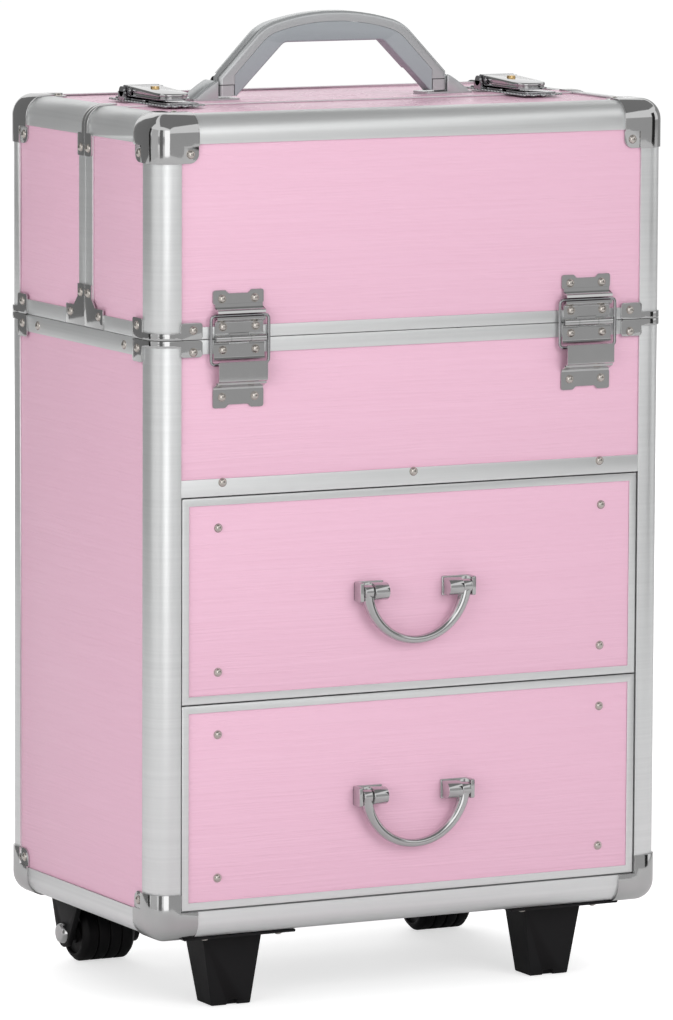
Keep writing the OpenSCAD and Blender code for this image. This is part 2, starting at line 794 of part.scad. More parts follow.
module split_fittings(d) {
    split = -half_d + d - half_gap;
    both_sides() {
        translate([-half_w, split - split_band_w, top_z]) mirror([0, 0, 1])
            along_y(0, split_band_w) difference() {
                intersection() {
                    translate([-cap_t, -cap_t]) round_corner(big, rail_r + cap_t);
                    translate([-cap_t, -cap_t]) square(rail_leg + 3);
                }
                round_corner(big, rail_r);
            }
        translate([-half_w - cap_t, split - split_rail_w, top_z - rail_leg - split_tab_h])
            rotate([90, 0, 90]) linear_extrude(cap_t)
                round_rect(split_rail_w, split_tab_h + 1, 1.5);
        translate([-half_w - cap_t, 0, seam_z + half_gap]) rotate([90, 0, 90])
            linear_extrude(cap_t) polygon([
                [split, 0.3], [split - split_angle_w, 0.3],
                [split - split_angle_w, split_angle_low],
                [split - split_angle_bend[0], split_angle_low],
                [split - split_rail_w, split_angle_bend[1]],
                [split - split_rail_w, split_angle_h], [split, split_angle_h]]);
    }
}

module lid_fittings(d) {
    both_sides() translate([-half_w, -half_d, top_z]) mirror([0, 0, 1])
        corner_cap([true, true, true]);
    both_sides() translate([0, 0, seam_z + half_gap]) rim_bracket(lid_rim_h + side_rim_extra);
    split_fittings(d);
}

module lid_rivets(d) {
    split = -half_d + d - half_gap;
    inset = cap_rivet_inset;
    split_rivet_y = split - split_rail_w / 2 - 0.4;
    both_sides() {
        on_front(half_w - inset, top_z - inset, cap_t - rail_t) rivet();
        on_left(-half_d + inset, top_z - inset, cap_t - rail_t) rivet();
        on_top(half_w - inset, -half_d + inset, cap_t - rail_t) rivet();
        on_front(bracket_rivet_x, lid_bracket_rivet_z, cap_t) rivet();
        on_left(bracket_rivet_y, lid_side_rivet_z, cap_t) rivet();
        on_left(split - split_angle_w + 6, lid_side_rivet_z, cap_t) rivet();
        on_left(split_rivet_y, seam_z + split_angle_h - 5, cap_t) rivet();
        on_left(split_rivet_y, top_z - rail_leg - split_tab_h / 2 - 1.5, cap_t) rivet();
        for (x = [-hinge_rivet_x, hinge_rivet_x]) {
            on_front(hinge_x + x, seam_z + lid_leaf_rivets[0], leaf_t) rivet();
            on_front(hinge_x + x, seam_z + lid_leaf_rivets[1], leaf_t - rail_t) rivet();
        }
    }
}

module front_lid_walls() color(pink) lid_walls(front_lid_d);

module front_lid_top() color(pink) lid_top(front_lid_d);

module front_lid_edge_rails() color(alu) lid_edge_rails(front_lid_d);

module front_lid_channels() color(alu) lid_channels(front_lid_d);

module front_lid_fittings() color(chrome) lid_fittings(front_lid_d);

module front_lid_rivets() color(nickel) lid_rivets(front_lid_d);

module rear_lid_walls() color(pink) mirror([0, 1, 0]) lid_walls(rear_lid_d);

module rear_lid_top() color(pink) mirror([0, 1, 0]) lid_top(rear_lid_d);

module rear_lid_edge_rails() color(alu) mirror([0, 1, 0]) lid_edge_rails(rear_lid_d);

module rear_lid_channels() color(alu) mirror([0, 1, 0]) lid_channels(rear_lid_d);

module rear_lid_fittings() color(chrome) mirror([0, 1, 0]) lid_fittings(rear_lid_d);

module rear_lid_rivets() color(nickel) mirror([0, 1, 0]) lid_rivets(rear_lid_d);

// ---- latches: x across, y from the split (rear is positive), z from the lid ----

latch_pin_r = 1.5;
latch_under = latch_plate_t + 1.9;
latch_lip_z = 2.5;
latch_nose = [6.8, 6.1, 4.8];
latch_base_end = 18;
keeper_y = 15;
keeper_t = 2;
lock_y = 9;
lock_r = 3;
lock_low = 4.5;
lock_h = 4.8;
ear_r = 3.2;
ear_half = 5;
ear_t = 1.5;
ear_x = latch_w / 2 + 0.4;

module at_latch(side) translate([side * latch_x, split_y, top_z]) children();

module latch_plate(from, to) translate([-ear_x - ear_t, from, 0])
    linear_extrude(latch_plate_t) round_rect(2 * (ear_x + ear_t), to - from, 2.5);

module latch_bases() color(chrome) for (side = [-1, 1]) at_latch(side) {
    latch_plate(half_gap + 0.5, latch_pivot_y + latch_base_end);
    for (s = [0, 1]) mirror([s, 0, 0]) along_x(ear_x, ear_x + ear_t) {
        translate([latch_pivot_y, latch_pivot_z]) circle(ear_r);
        translate([latch_pivot_y - ear_half, latch_plate_t - 0.1])
            square([2 * ear_half, latch_pivot_z - latch_plate_t]);
    }
    translate([0, latch_pivot_y, latch_pivot_z]) rotate([0, 90, 0])
        cylinder(h = 2 * ear_x + 1, r = latch_pin_r, center = true);
}

module latch_keepers() color(chrome) for (side = [-1, 1]) at_latch(side) {
    latch_plate(-latch_reach - lock_y, -half_gap - 0.5);
    translate([-latch_w / 2 + keeper_t, -keeper_y, latch_plate_t - 0.1])
        cube([latch_w - 2 * keeper_t, keeper_t, latch_under - latch_plate_t - 0.2]);
}

module latch_lever(side) at_latch(side) {
    lip_y = -latch_reach;
    color(chrome) difference() {
        along_x(-latch_w / 2, latch_w / 2) {
            translate([latch_pivot_y, latch_pivot_z]) circle(latch_round_r);
            polygon([
                [latch_pivot_y, latch_pivot_z + latch_round_r], [lip_y + 2, latch_nose[0]],
                [lip_y + 0.6, latch_nose[1]], [lip_y, latch_nose[2]], [lip_y, latch_lip_z],
                [lip_y + 4, latch_lip_z], [lip_y + 4.8, latch_under],
                [latch_pivot_y - 4, latch_under], [latch_pivot_y, latch_pivot_z - 2]]);
        }
        translate([0, latch_pivot_y, latch_pivot_z]) rotate([0, 90, 0])
            cylinder(h = big, r = latch_pin_r + pin_play, center = true);
        translate([0, lock_y, lock_low]) cylinder(h = 10, r = lock_r);
    }
    color(brass) translate([0, lock_y, lock_low]) cylinder(h = lock_h, r = lock_r - 0.1);
}

module left_latch_lever() latch_lever(-1);

module right_latch_lever() latch_lever(1);

// ---- carry handle ----

module at_handle() translate([0, split_y + handle_y, top_z]) children();

plate_over = 1;
grip_foot_z = handle_pivot_z + 8;
leg_low = plate_over + 1;
plate_in = grip_in_foot_x - 2;
barrel_in = grip_in_foot_x + 1;
pin_in = grip_in_foot_x + handle_pin_r;
mount_half_d = 9.5;
grip_edge = 2;
grip_in_r = 6;

// Bulging slope of the fin's outline.
function fin_points(n) = [for (i = [0 : n])
    [barrel_x + 1 + fin_len * i / n, fin_h * (1 - pow(i / n, 1.6))]];

module handle_mounts() color(grey) at_handle() both_sides() {
    translate([plate_in, -mount_half_d - 0.5, -rail_t])
        cube([handle_end_x - plate_in, 2 * mount_half_d + 1, rail_t + plate_over]);
    along_y(-mount_half_d, mount_half_d) polygon(concat([[barrel_x + 1, 0]], fin_points(8)));
    translate([pin_in, 0, handle_pivot_z]) rotate([0, 90, 0])
        cylinder(h = barrel_x + 1.5 - pin_in, r = handle_pin_r);
}

// Arc from one tilt to another, measured from upright, round a centre.
function turned(centre, r, from, to, n) = [for (i = [0 : n])
    let (a = from + (to - from) * i / n) centre + r * [sin(a), cos(a)]];

// Right half of the arch's outer edge: the crown, then the shoulder, tangent to each other.
crown_angle = asin(grip_crown_x / grip_crown_r);
crown_centre = [0, grip_top_z - grip_crown_r];
shoulder_centre = crown_centre
    + (grip_crown_r - grip_shoulder_r) * [sin(crown_angle), cos(crown_angle)];
arch_edge = concat(turned(crown_centre, grip_crown_r, crown_angle / 6, crown_angle * 5 / 6, 4),
    turned(shoulder_centre, grip_shoulder_r, crown_angle, grip_slope, 5));
leg_top = arch_edge[len(arch_edge) - 1];
leg_end_z = leg_top[1] - (barrel_x - leg_top[0]) * tan(grip_slope);

// Right half of the arch's inner edge: a round corner between the level top and the leg.
in_slope = atan2(grip_in_z - leg_low, grip_in_foot_x - grip_in_top_x);
in_corner = turned([grip_in_top_x - grip_in_r * tan(in_slope / 2), grip_in_z - grip_in_r],
    grip_in_r, 0, in_slope, 4);

function both_halves(points) = concat(points,
    [for (i = [len(points) - 1 : -1 : 0]) [-points[i][0], points[i][1]]]);

module arch_outline(foot) intersection() {
    difference() {
        polygon(both_halves(concat(arch_edge, [[barrel_x, leg_end_z], [barrel_x, 0]])));
        polygon(both_halves(concat(in_corner, [[grip_in_foot_x, leg_low], [grip_in_foot_x, -1]])));
    }
    translate([-big / 2, foot]) square(big);
}

// A slice of the arch between its middle and its front or back face, cut off at a height.
// The outer edge is stepped down towards the face.
module arch_half(side, foot) {
    step_y = grip_w / 2 - grip_edge;
    along_y(min(0, side * step_y), max(0, side * step_y)) arch_outline(foot);
    along_y(min(side * step_y, side * grip_w / 2), max(side * step_y, side * grip_w / 2))
        intersection() {
            arch_outline(foot);
            translate([0, -grip_edge]) arch_outline(foot);
        }
}

module carry_handle() color(grey) at_handle() difference() {
    union() {
        arch_half(-1, leg_low);
        arch_half(1, grip_foot_z);
        // Behind the pivot the legs are as thin as the barrels, so that the handle can fold back.
        along_y(0, barrel_r) arch_outline(handle_pivot_z);
        both_sides() translate([barrel_in, 0, handle_pivot_z]) rotate([0, 90, 0])
            cylinder(h = barrel_x - barrel_in, r = barrel_r);
    }
    both_sides() translate([pin_in - 0.5, 0, handle_pivot_z]) rotate([0, 90, 0])
        cylinder(h = big, r = handle_pin_r + pin_play);
}

// ---- drawers ----

zone_low = foot_h + rail_leg;
drawer_h = (apron_z - zone_low - 3 * drawer_gap) / 2;
drawer_z = [zone_low + drawer_gap, zone_low + 2 * drawer_gap + drawer_h];
drawer_face = -half_d + drawer_recess;
box_front = drawer_face + trim_t + panel_t + trim_t;

module drawer_box(z) color(lining) {
    low = z + drawer_box_lift;
    difference() {
        translate([-drawer_box_w / 2, box_front, low])
            cube([drawer_box_w, drawer_box_d, drawer_box_h]);
        translate([-drawer_box_w / 2 + drawer_wall, box_front + drawer_wall, low + drawer_wall])
            cube([drawer_box_w - 2 * drawer_wall, drawer_box_d - 2 * drawer_wall, drawer_box_h]);
    }
    both_sides() translate([-channel_out, runner_y + 2, low + drawer_box_h / 2 - runner_h / 2])
        cube([channel_out - drawer_box_w / 2, runner_len - 4, runner_h]);
}

module drawer_front(z) color(pink) translate([-drawer_half + trim_t, drawer_face + trim_t,
    z + trim_t]) cube([2 * (drawer_half - trim_t), panel_t, drawer_h - 2 * trim_t]);

// The trim folds round the front panel's edges like a picture frame.
module drawer_trim(z) color(alu) translate([-drawer_half, drawer_face, z]) difference() {
    cube([2 * drawer_half, panel_t + 2 * trim_t, drawer_h]);
    translate([trim_t, trim_t, trim_t])
        cube([2 * (drawer_half - trim_t), panel_t, drawer_h - 2 * trim_t]);
    translate([trim_w, -1, trim_w])
        cube([2 * (drawer_half - trim_w), panel_t + 4, drawer_h - 2 * trim_w]);
}

// Post of a pull round its own middle; the slot for the bail's eye is towards -x.
panel_face = drawer_face + trim_t;
post_base_t = 1.4;
slot_mid = post_x - bail_half_w;

// An outer cheek, square as the base, and an inner barrel hold the pin.
module pull_post() {
    along_x(-post_w / 2, slot_mid - eye_slot_w / 2)
        translate([panel_face - bail_out - bail_pin_r - 1, -post_h / 2])
            square([bail_out + bail_pin_r + 1, post_h]);
    along_x(slot_mid + eye_slot_w / 2, post_w / 2) {
        translate([panel_face - bail_out, 0]) circle(post_h / 2 - 0.4);
        translate([panel_face - bail_out, -post_h / 2 + 0.4])
            square([bail_out, post_h - 0.8]);
    }
    translate([-post_w / 2, panel_face - post_base_t, -post_h / 2])
        cube([post_w, post_base_t, post_h]);
    translate([0, panel_face - bail_out, 0]) rotate([0, 90, 0])
        cylinder(h = post_w - 1, r = bail_pin_r, center = true);
}

module pull_posts(z) {
    mid = z + drawer_h / 2;
    color(chrome) both_sides() translate([-post_x, 0, mid]) pull_post();
    color(nickel) for (x = [-1, 1], dz = [-1, 1])
        translate([x * (drawer_half - front_rivet_inset), panel_face, mid + dz * front_rivet_z])
            rotate([90, 0, 0]) rivet();
}

// The bail: nearly a semicircle between two eyes that turn on the posts' pins.
bail_low = bail_drop - bail_r;
bail_arc_r = (pow(bail_half_w, 2) + pow(bail_low, 2)) / (2 * bail_low);
eye_w = eye_slot_w - 2 * tube_play;

module pull_bail(z) color(chrome) translate([0, panel_face - bail_out, z + drawer_h / 2])
    difference() {
        union() {
            both_sides() translate([bail_half_w, 0, 0]) rotate([0, 90, 0])
                cylinder(h = eye_w, r = eye_r, center = true);
            intersection() {
                translate([0, 0, bail_arc_r - bail_low]) rotate([90, 0, 0])
                    rotate_extrude($fn = 96) translate([bail_arc_r, 0]) circle(bail_r, $fn = 24);
                translate([-big / 2, -big / 2, -big]) cube([big, big, big]);
            }
        }
        rotate([0, 90, 0]) cylinder(h = big, r = bail_pin_r + pin_play, center = true);
    }

module upper_drawer_box() drawer_box(drawer_z[1]);

module upper_drawer_front() drawer_front(drawer_z[1]);

module upper_drawer_trim() drawer_trim(drawer_z[1]);

module upper_pull_posts() pull_posts(drawer_z[1]);

module upper_pull_bail() pull_bail(drawer_z[1]);

module lower_drawer_box() drawer_box(drawer_z[0]);

module lower_drawer_front() drawer_front(drawer_z[0]);

module lower_drawer_trim() drawer_trim(drawer_z[0]);

module lower_pull_posts() pull_posts(drawer_z[0]);

module lower_pull_bail() pull_bail(drawer_z[0]);

// ---- trays on parallel arms, written for the front half ----

arm_z = seam_z - arm_pivot_dz;
strap_half = 8;
strap_in = half_w - rail_depth - strap_t;
arm_out_x = strap_in - arm_play;
arm_in_x = arm_out_x - arm_t;
tray_half = arm_in_x - arm_play;

module tray_pivot_straps() color(chrome) front_and_back() both_sides() {
    translate([strap_in, 0, arm_z]) {
        translate([0, -arm_y - arm_gap - strap_half, -1.5 * strap_half])
            cube([strap_t, arm_gap + 2 * strap_half, 2 * strap_half]);
        for (y = [-arm_y, -arm_y - arm_gap]) translate([0, y, 0]) rotate([0, -90, 0])
            translate([0, 0, -0.5]) cylinder(h = arm_play + arm_t + 0.7, r = arm_pin_r);
    }
}

// One arm from its pivot at the origin to the upper tray's pin.
module arm_plate(pin_play_here) rotate([90, 0, 90]) linear_extrude(arm_t) difference() {
    hole = arm_pin_r + pin_play_here;
    rotate(90 - arm_lean) difference() {
        union() {
            translate([0, -arm_half_w]) square([arm_high_r, 2 * arm_half_w]);
            circle(arm_half_w);
            translate([arm_high_r, 0]) circle(arm_half_w);
        }
        circle(arm_pin_r + pin_play);
        for (r = [arm_low_r, arm_high_r]) translate([r, 0]) circle(hole);
    }
}

open_pivot_play = 0.4;

module inner_arms() color(chrome) both_sides() translate([arm_in_x, -arm_y, arm_z])
    arm_plate(pin_play);

module outer_arms() color(chrome) both_sides() translate([arm_in_x, -arm_y - arm_gap, arm_z])
    arm_plate(open_pivot_play);

// front_edge = the tray's front edge when closed; r = the arms' length to its pins.
module tray(front_edge, r) color(lining) {
    pin_y = -arm_y + r * sin(arm_lean);
    pin_z = arm_z + r * cos(arm_lean);
    low = pin_z - tray_pin_lift;
    difference() {
        translate([-tray_half, front_edge, low]) cube([2 * tray_half, tray_d, tray_h]);
        for (i = [0 : 2]) {
            cell = (2 * tray_half - 4 * tray_wall) / 3;
            translate([-tray_half + tray_wall + i * (cell + tray_wall),
                front_edge + tray_wall, low + tray_wall])
                cube([cell, tray_d - 2 * tray_wall, tray_h]);
        }
    }
    both_sides() for (y = [pin_y, pin_y - arm_gap]) translate([tray_half - 1, y, pin_z])
        rotate([0, 90, 0]) cylinder(h = arm_play + arm_t + 1.2, r = arm_pin_r);
}

low_tray_front = -91;
high_tray_front = -89;

module front_inner_arms() inner_arms();

module front_outer_arms() outer_arms();

module front_lower_tray() tray(low_tray_front, arm_low_r);

module front_upper_tray() tray(high_tray_front, arm_high_r);

module rear_inner_arms() mirror([0, 1, 0]) inner_arms();

module rear_outer_arms() mirror([0, 1, 0]) outer_arms();

module rear_lower_tray() mirror([0, 1, 0]) tray(low_tray_front, arm_low_r);

module rear_upper_tray() mirror([0, 1, 0]) tray(high_tray_front, arm_high_r);

// ---- telescopic handle on the back ----

tube_y = half_d - rail_t + tube_d / 2;
tube_top = seam_z - tube_top_dz;
plug_h = 4;
wall_plate_h = 14;
wall_plate_t = 3;
wall_plate_w = 9;

module tube(w, d, len, top) translate([0, 0, top - len]) linear_extrude(len) difference() {
    translate([-w / 2, -d / 2]) round_rect(w, d, 2.5);
    translate([-w / 2 + tube_wall, -d / 2 + tube_wall])
        round_rect(w - 2 * tube_wall, d - 2 * tube_wall, 1.6);
}

mid_w = tube_w - 2 * tube_wall - 2 * tube_play;
mid_d = tube_d - 2 * tube_wall - 2 * tube_play;
inner_w = mid_w - 2 * tube_wall - 2 * tube_play;
inner_d = mid_d - 2 * tube_wall - 2 * tube_play;

module telescopic_sleeves() color(alu) both_sides() translate([tube_x, tube_y, 0]) {
    tube(tube_w, tube_d, tube_len, tube_top);
    // Foot plug and wall plates that hold the tube to the back.
    translate([-tube_w / 2, -tube_d / 2, tube_top - tube_len - plug_h])
        cube([tube_w, tube_d, plug_h]);
    for (z = [tube_top - tube_len - plug_h, tube_top - wall_plate_h], s = [0, 1])
        mirror([s, 0, 0]) translate([tube_w / 2 - 0.5, -tube_d / 2, z])
            cube([wall_plate_w, wall_plate_t, wall_plate_h]);
}

module telescopic_middle_tubes() color(alu) both_sides() translate([tube_x, tube_y, 0])
    tube(mid_w, mid_d, tube_len - 4, tube_top + 1);

// The grip passes clear behind the rim rails when the tubes are drawn out.
pull_z = tube_top + 2;
pull_y = half_d + 0.5;
button_w = 24;
button_d = 8;
button_well = 6;
button_travel = 3;

module telescopic_grip() {
    color(alu) both_sides() translate([tube_x, tube_y, 0])
        tube(inner_w, inner_d, tube_len - 6, pull_z + 1);
    color(black) translate([0, pull_y, pull_z]) difference() {
        translate([-tube_x - tube_w / 2 - 2, 0, 0])
            cube([2 * tube_x + tube_w + 4, tube_d, pull_h]);
        translate([-button_w / 2 - 0.4, (tube_d - button_d) / 2 - 0.4, pull_h - button_well])
            cube([button_w + 0.8, button_d + 0.8, button_well + 1]);
        translate([-tube_x + tube_w / 2 + 4, -big / 2, -1])
            cube([2 * tube_x - tube_w - 8, big, 5]);
    }
}

module telescopic_button() color(grey) {
    low = pull_z + pull_h - button_well + button_travel + 0.4;
    translate([-button_w / 2, pull_y + (tube_d - button_d) / 2, low])
        cube([button_w, button_d, button_well - button_travel + 1]);
}

base_walls();
base_floors();
front_apron_panel();
base_edge_rails();
base_rim_rails();
apron_trim_rail();
base_corner_fittings();
base_fasteners();
drawer_runners();
front_feet();
wheel_brackets();
hinge_pins_and_axles();
hinge_base_leaves();
tray_pivot_straps();
telescopic_sleeves();
front_lid_walls();
front_lid_top();
front_lid_edge_rails();
front_lid_channels();
front_lid_fittings();
front_lid_rivets();
front_hinge_lid_leaves();
latch_keepers();
rear_lid_walls();
rear_lid_top();
rear_lid_edge_rails();
rear_lid_channels();
rear_lid_fittings();
rear_lid_rivets();
rear_hinge_lid_leaves();
latch_bases();
handle_mounts();
front_hinge_rings();
rear_hinge_rings();
left_latch_lever();
right_latch_lever();
carry_handle();
upper_drawer_box();
upper_drawer_front();
upper_drawer_trim();
upper_pull_posts();
upper_pull_bail();
lower_drawer_box();
lower_drawer_front();
lower_drawer_trim();
lower_pull_posts();
lower_pull_bail();
left_wheel();
right_wheel();
front_inner_arms();
front_outer_arms();
front_lower_tray();
front_upper_tray();
rear_inner_arms();
rear_outer_arms();
rear_lower_tray();
rear_upper_tray();
telescopic_middle_tubes();
telescopic_grip();
telescopic_button();
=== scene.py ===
# %% [markdown]
# # A rolling makeup case, dressed in Blender
#
# The case is a pink laminated box held in aluminium rails, with chrome corners, ring hinges, two drawers
# and a folding handle. Its solids are already made and packed. This lesson loads them as a fixed frame,
# rounds their edges, adds the small pressed details that the solids leave out, and gives every surface
# a finish that is worked out from its place on the case.

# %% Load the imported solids
import bpy
import bmesh
import json
import math
from mathutils import Matrix, Vector


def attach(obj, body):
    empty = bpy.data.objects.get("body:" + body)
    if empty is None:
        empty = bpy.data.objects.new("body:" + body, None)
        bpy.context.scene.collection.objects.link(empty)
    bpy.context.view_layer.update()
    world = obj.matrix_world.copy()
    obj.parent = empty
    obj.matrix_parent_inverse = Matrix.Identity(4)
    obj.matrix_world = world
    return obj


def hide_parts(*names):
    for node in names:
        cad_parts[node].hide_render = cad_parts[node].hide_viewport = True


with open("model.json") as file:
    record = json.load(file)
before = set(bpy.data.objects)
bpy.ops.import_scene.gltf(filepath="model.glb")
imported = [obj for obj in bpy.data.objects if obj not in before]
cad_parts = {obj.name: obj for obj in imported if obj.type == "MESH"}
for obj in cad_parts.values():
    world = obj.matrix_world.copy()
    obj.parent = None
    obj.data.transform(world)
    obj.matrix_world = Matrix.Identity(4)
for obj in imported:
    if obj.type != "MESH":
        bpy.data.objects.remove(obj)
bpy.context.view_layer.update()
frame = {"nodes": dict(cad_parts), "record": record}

# %% [markdown]
# All lengths in the lesson are written in millimetres, as on a drawing, and Blender works in metres.
# One small function turns a drawing's point into Blender's.

# %% Lengths of the case
HALF_D = 212.0 / 2
SEAM_Z, TOP_Z = 413.0, 548.0
SPLIT_Y = -8.0
RAIL_T = 1.2


def mm(*v):
    """A point or a length in millimetres, as Blender's metres."""
    return v[0] / 1000 if len(v) == 1 else Vector(v) / 1000


def as_mesh(bm, name):
    """A bmesh that is done, as a mesh."""
    mesh = bpy.data.meshes.new(name)
    bm.to_mesh(mesh)
    bm.free()
    return mesh


def in_scene(name, data):
    """An object in the scene with its data."""
    ob = bpy.data.objects.new(name, data)
    bpy.context.scene.collection.objects.link(ob)
    return ob


# %% Tools for shader nodes
def fill(tree, node, values):
    """Sets a node's inputs; a value that is an output socket is linked instead."""
    for key, value in dict(values).items():
        if isinstance(value, bpy.types.NodeSocket):
            tree.links.new(value, node.inputs[key])
        else:
            node.inputs[key].default_value = value
    return node


def add(tree, kind, values=(), **settings):
    """A shader node with its settings and input values."""
    node = tree.nodes.new("ShaderNode" + kind)
    for key, value in settings.items():
        setattr(node, key, value)
    return fill(tree, node, values)


def maths(tree, operation, first, second, **settings):
    """The output of a node that works out one number from two."""
    return add(tree, "Math", {0: first, 1: second}, operation=operation, **settings).outputs[0]


# %% [markdown]
# ## Camera
#
# The photograph was taken from the left and a little above, with a long lens, so that the upright edges
# stay almost parallel. The place of the camera was found by fitting the corners of the case.

# %% Camera at the photograph's viewing angle
azimuth, elevation, roll = (math.radians(a) for a in (-27.17, 7.29, 0.26))
target, distance = mm(1.7, 0, 289.8), 4.464
SENSOR, LENS = 36, 252.3
back = Vector((math.sin(azimuth) * math.cos(elevation),
               -math.cos(azimuth) * math.cos(elevation), math.sin(elevation)))
level = Vector((0, 0, 1)).cross(back).normalized()
upright = back.cross(level)
right = level * math.cos(roll) + upright * math.sin(roll)
up = back.cross(right)

camera_data = bpy.data.cameras.new("camera")
camera_data.sensor_width, camera_data.lens = SENSOR, LENS
camera_data.clip_end = 60
camera = in_scene("camera", camera_data)
camera.matrix_world = Matrix.Translation(target + back * distance) @ Matrix(
    (right, up, back)).transposed().to_4x4()
bpy.context.scene.camera = camera
bpy.context.scene.view_settings.view_transform = "Standard"

# %% [markdown]
# ## Light
#
# The studio is plain: soft lamps on all sides and an even white surrounding. The side of the case then
# lies a little darker than its front, as in the photograph. Metal shows what stands round it, so grey and
# bright cards stand outside the picture. The camera never sees them, but the rails and the chrome do, and
# that gives them their shaded roundness and dark bands.

# %% Lamps
MIDDLE = Vector((0, 0, 0.3))
LAMPS = {  # place, width, watts
    "key lamp": ((0.9, -3.5, 1.9), 2.4, 51),
    "side lamp": ((-3.2, -1.7, 0.9), 2.4, 43),
    "top lamp": ((0.2, 0.4, 3.0), 1.6, 3),
    "rear lamp": ((0.8, 3.0, 1.6), 2.4, 46),
}


def aim(ob, place, axis):
    """Puts an object at a place and turns its axis towards the middle of the case."""
    ob.location = place
    ob.rotation_mode = "QUATERNION"
    ob.rotation_quaternion = (MIDDLE - ob.location).to_track_quat(axis, "Y")


for name, (place, width, power) in LAMPS.items():
    data = bpy.data.lights.new(name, "AREA")
    data.size, data.energy = width, power
    lamp = in_scene(name, data)
    lamp.visible_glossy = False
    aim(lamp, place, "-Z")


# %% White surroundings
def seen_or_mirrored(tree, mirrored=1.0):
    """1 for rays that show the surroundings to the camera, and a share of it for those in metal."""
    ray = add(tree, "LightPath").outputs
    share = maths(tree, "MULTIPLY", ray["Is Glossy Ray"], mirrored)
    return maths(tree, "MAXIMUM", maths(tree, "MAXIMUM", ray["Is Camera Ray"], share),
                 ray["Is Transmission Ray"])


world = bpy.data.worlds.new("studio")
bpy.context.scene.world = world
world.use_nodes = True
tree = world.node_tree
tree.nodes.clear()
strength = add(tree, "MapRange", {"Value": seen_or_mirrored(tree), "To Min": 0.5, "To Max": 1.0})
surround = add(tree, "Background", {"Color": (1, 1, 1, 1), "Strength": strength.outputs["Result"]})
add(tree, "OutputWorld", {"Surface": surround.outputs[0]})


# %% Floor
def stage_plane(name, width, depth):
    """A flat rectangle that belongs to the studio, and the emptied node tree of its material."""
    bm = bmesh.new()
    bmesh.ops.create_grid(bm, x_segments=1, y_segments=1, size=0.5)
    bmesh.ops.scale(bm, vec=(width, depth, 1), verts=bm.verts)
    ob = in_scene(name, as_mesh(bm, name))
    made = bpy.data.materials.new(name)
    made.use_nodes = True
    made.node_tree.nodes.clear()
    ob.data.materials.append(made)
    return ob, made.node_tree


FLOOR_WIDTH, FLOOR_DROP, FLOOR_GLOW = 60, -0.0004, 0.62
floor, tree = stage_plane("floor", FLOOR_WIDTH, FLOOR_WIDTH)
floor.location.z = FLOOR_DROP
matte = add(tree, "BsdfDiffuse", {"Color": (0.8, 0.8, 0.8, 1)})
lift = maths(tree, "MULTIPLY", seen_or_mirrored(tree, mirrored=0.05), FLOOR_GLOW)
glow = add(tree, "Emission", {"Strength": lift})
both = add(tree, "AddShader", {0: matte.outputs[0], 1: glow.outputs[0]})
add(tree, "OutputMaterial", {"Surface": both.outputs[0]})

# %% Cards for the metal
CARDS = {  # place, size, tone
    "left rear card": ((-0.95, 1.25, 1.0), (1.9, 2.4), 0.22),
    "right rear card": ((1.5, 0.7, 0.6), (1.7, 1.3), 0.36),
    "overhead card": ((0.4, -0.3, 2.6), (5.0, 3.0), 0.27),
    "front card": ((0.6, -1.5, 0.24), (1.8, 1.1), 0.48),
    "front strip": ((-0.48, -1.5, 0.4), (0.7, 1.6), 1.7),
    "camera card": ((-1.12, -1.06, 0.4), (0.42, 1.6), 0.2),
    "left sheet": ((-1.57, -0.28, 0.4), (1.0, 1.6), 0.65),
    "left strip": ((-1.52, 0.5, 0.4), (0.36, 1.6), 0.02),
    "right strip": ((1.35, -0.92, 0.4), (0.55, 1.6), 0.03),
}
for name, (place, size, tone) in CARDS.items():
    card, tree = stage_plane(name, *size)
    aim(card, place, "Z")
    card.visible_camera = card.visible_diffuse = card.visible_shadow = False
    grey = add(tree, "Emission", {"Strength": tone})
    add(tree, "OutputMaterial", {"Surface": grey.outputs[0]})

# %% [markdown]
# ## Finishes
#
# Several finishes need the same effects: fine grain that follows one direction, uneven gloss from
# handling, edges that are lighter, and painted shade that darkens hollows. Each effect is a node group
# with its own inputs, built once and placed in the materials with different values.


# %% Tools for node groups
def group(name, inputs, outputs):
    """An empty shader group. An input with a value is a number, and one without is a vector."""
    tree = bpy.data.node_groups.new(name, "ShaderNodeTree")
    for socket, value in inputs.items():
        kind = "NodeSocketVector" if value is None else "NodeSocketFloat"
        made = tree.interface.new_socket(socket, in_out="INPUT", socket_type=kind)
        if value is not None:
            made.default_value = value
    for socket in outputs:
        tree.interface.new_socket(socket, in_out="OUTPUT", socket_type="NodeSocketFloat")
    return tree, tree.nodes.new("NodeGroupInput"), tree.nodes.new("NodeGroupOutput")


# %% Group: streaks that run one way
tree, inside, outside = group(
    "streaks", {"Vector": None, "Length": 0.06, "Pitch": 0.0016, "Waviness": 0.3}, ("Height", "Tone"))
warp = add(tree, "TexNoise", {"Vector": inside.outputs["Vector"], "Scale": 9.0, "Detail": 2.0})
shift = maths(tree, "MULTIPLY", warp.outputs[0], inside.outputs["Waviness"])
split = add(tree, "SeparateXYZ", {0: inside.outputs["Vector"]})
along = maths(tree, "DIVIDE", split.outputs["X"], inside.outputs["Length"])
across = maths(tree, "DIVIDE", split.outputs["Y"], inside.outputs["Length"])
rows = maths(tree, "DIVIDE", split.outputs["Z"], inside.outputs["Pitch"])
place = add(tree, "CombineXYZ", {0: along, 1: across, 2: maths(tree, "ADD", rows, shift)})
fine = add(tree, "TexNoise", {"Vector": place.outputs[0], "Scale": 1.0, "Detail": 3.0, "Roughness": 0.55})
wide = add(tree, "VectorMath", {0: place.outputs[0], 1: (0.35, 0.35, 0.22)}, operation="MULTIPLY")
slow = add(tree, "TexNoise", {"Vector": wide.outputs[0], "Scale": 1.0, "Detail": 2.0})
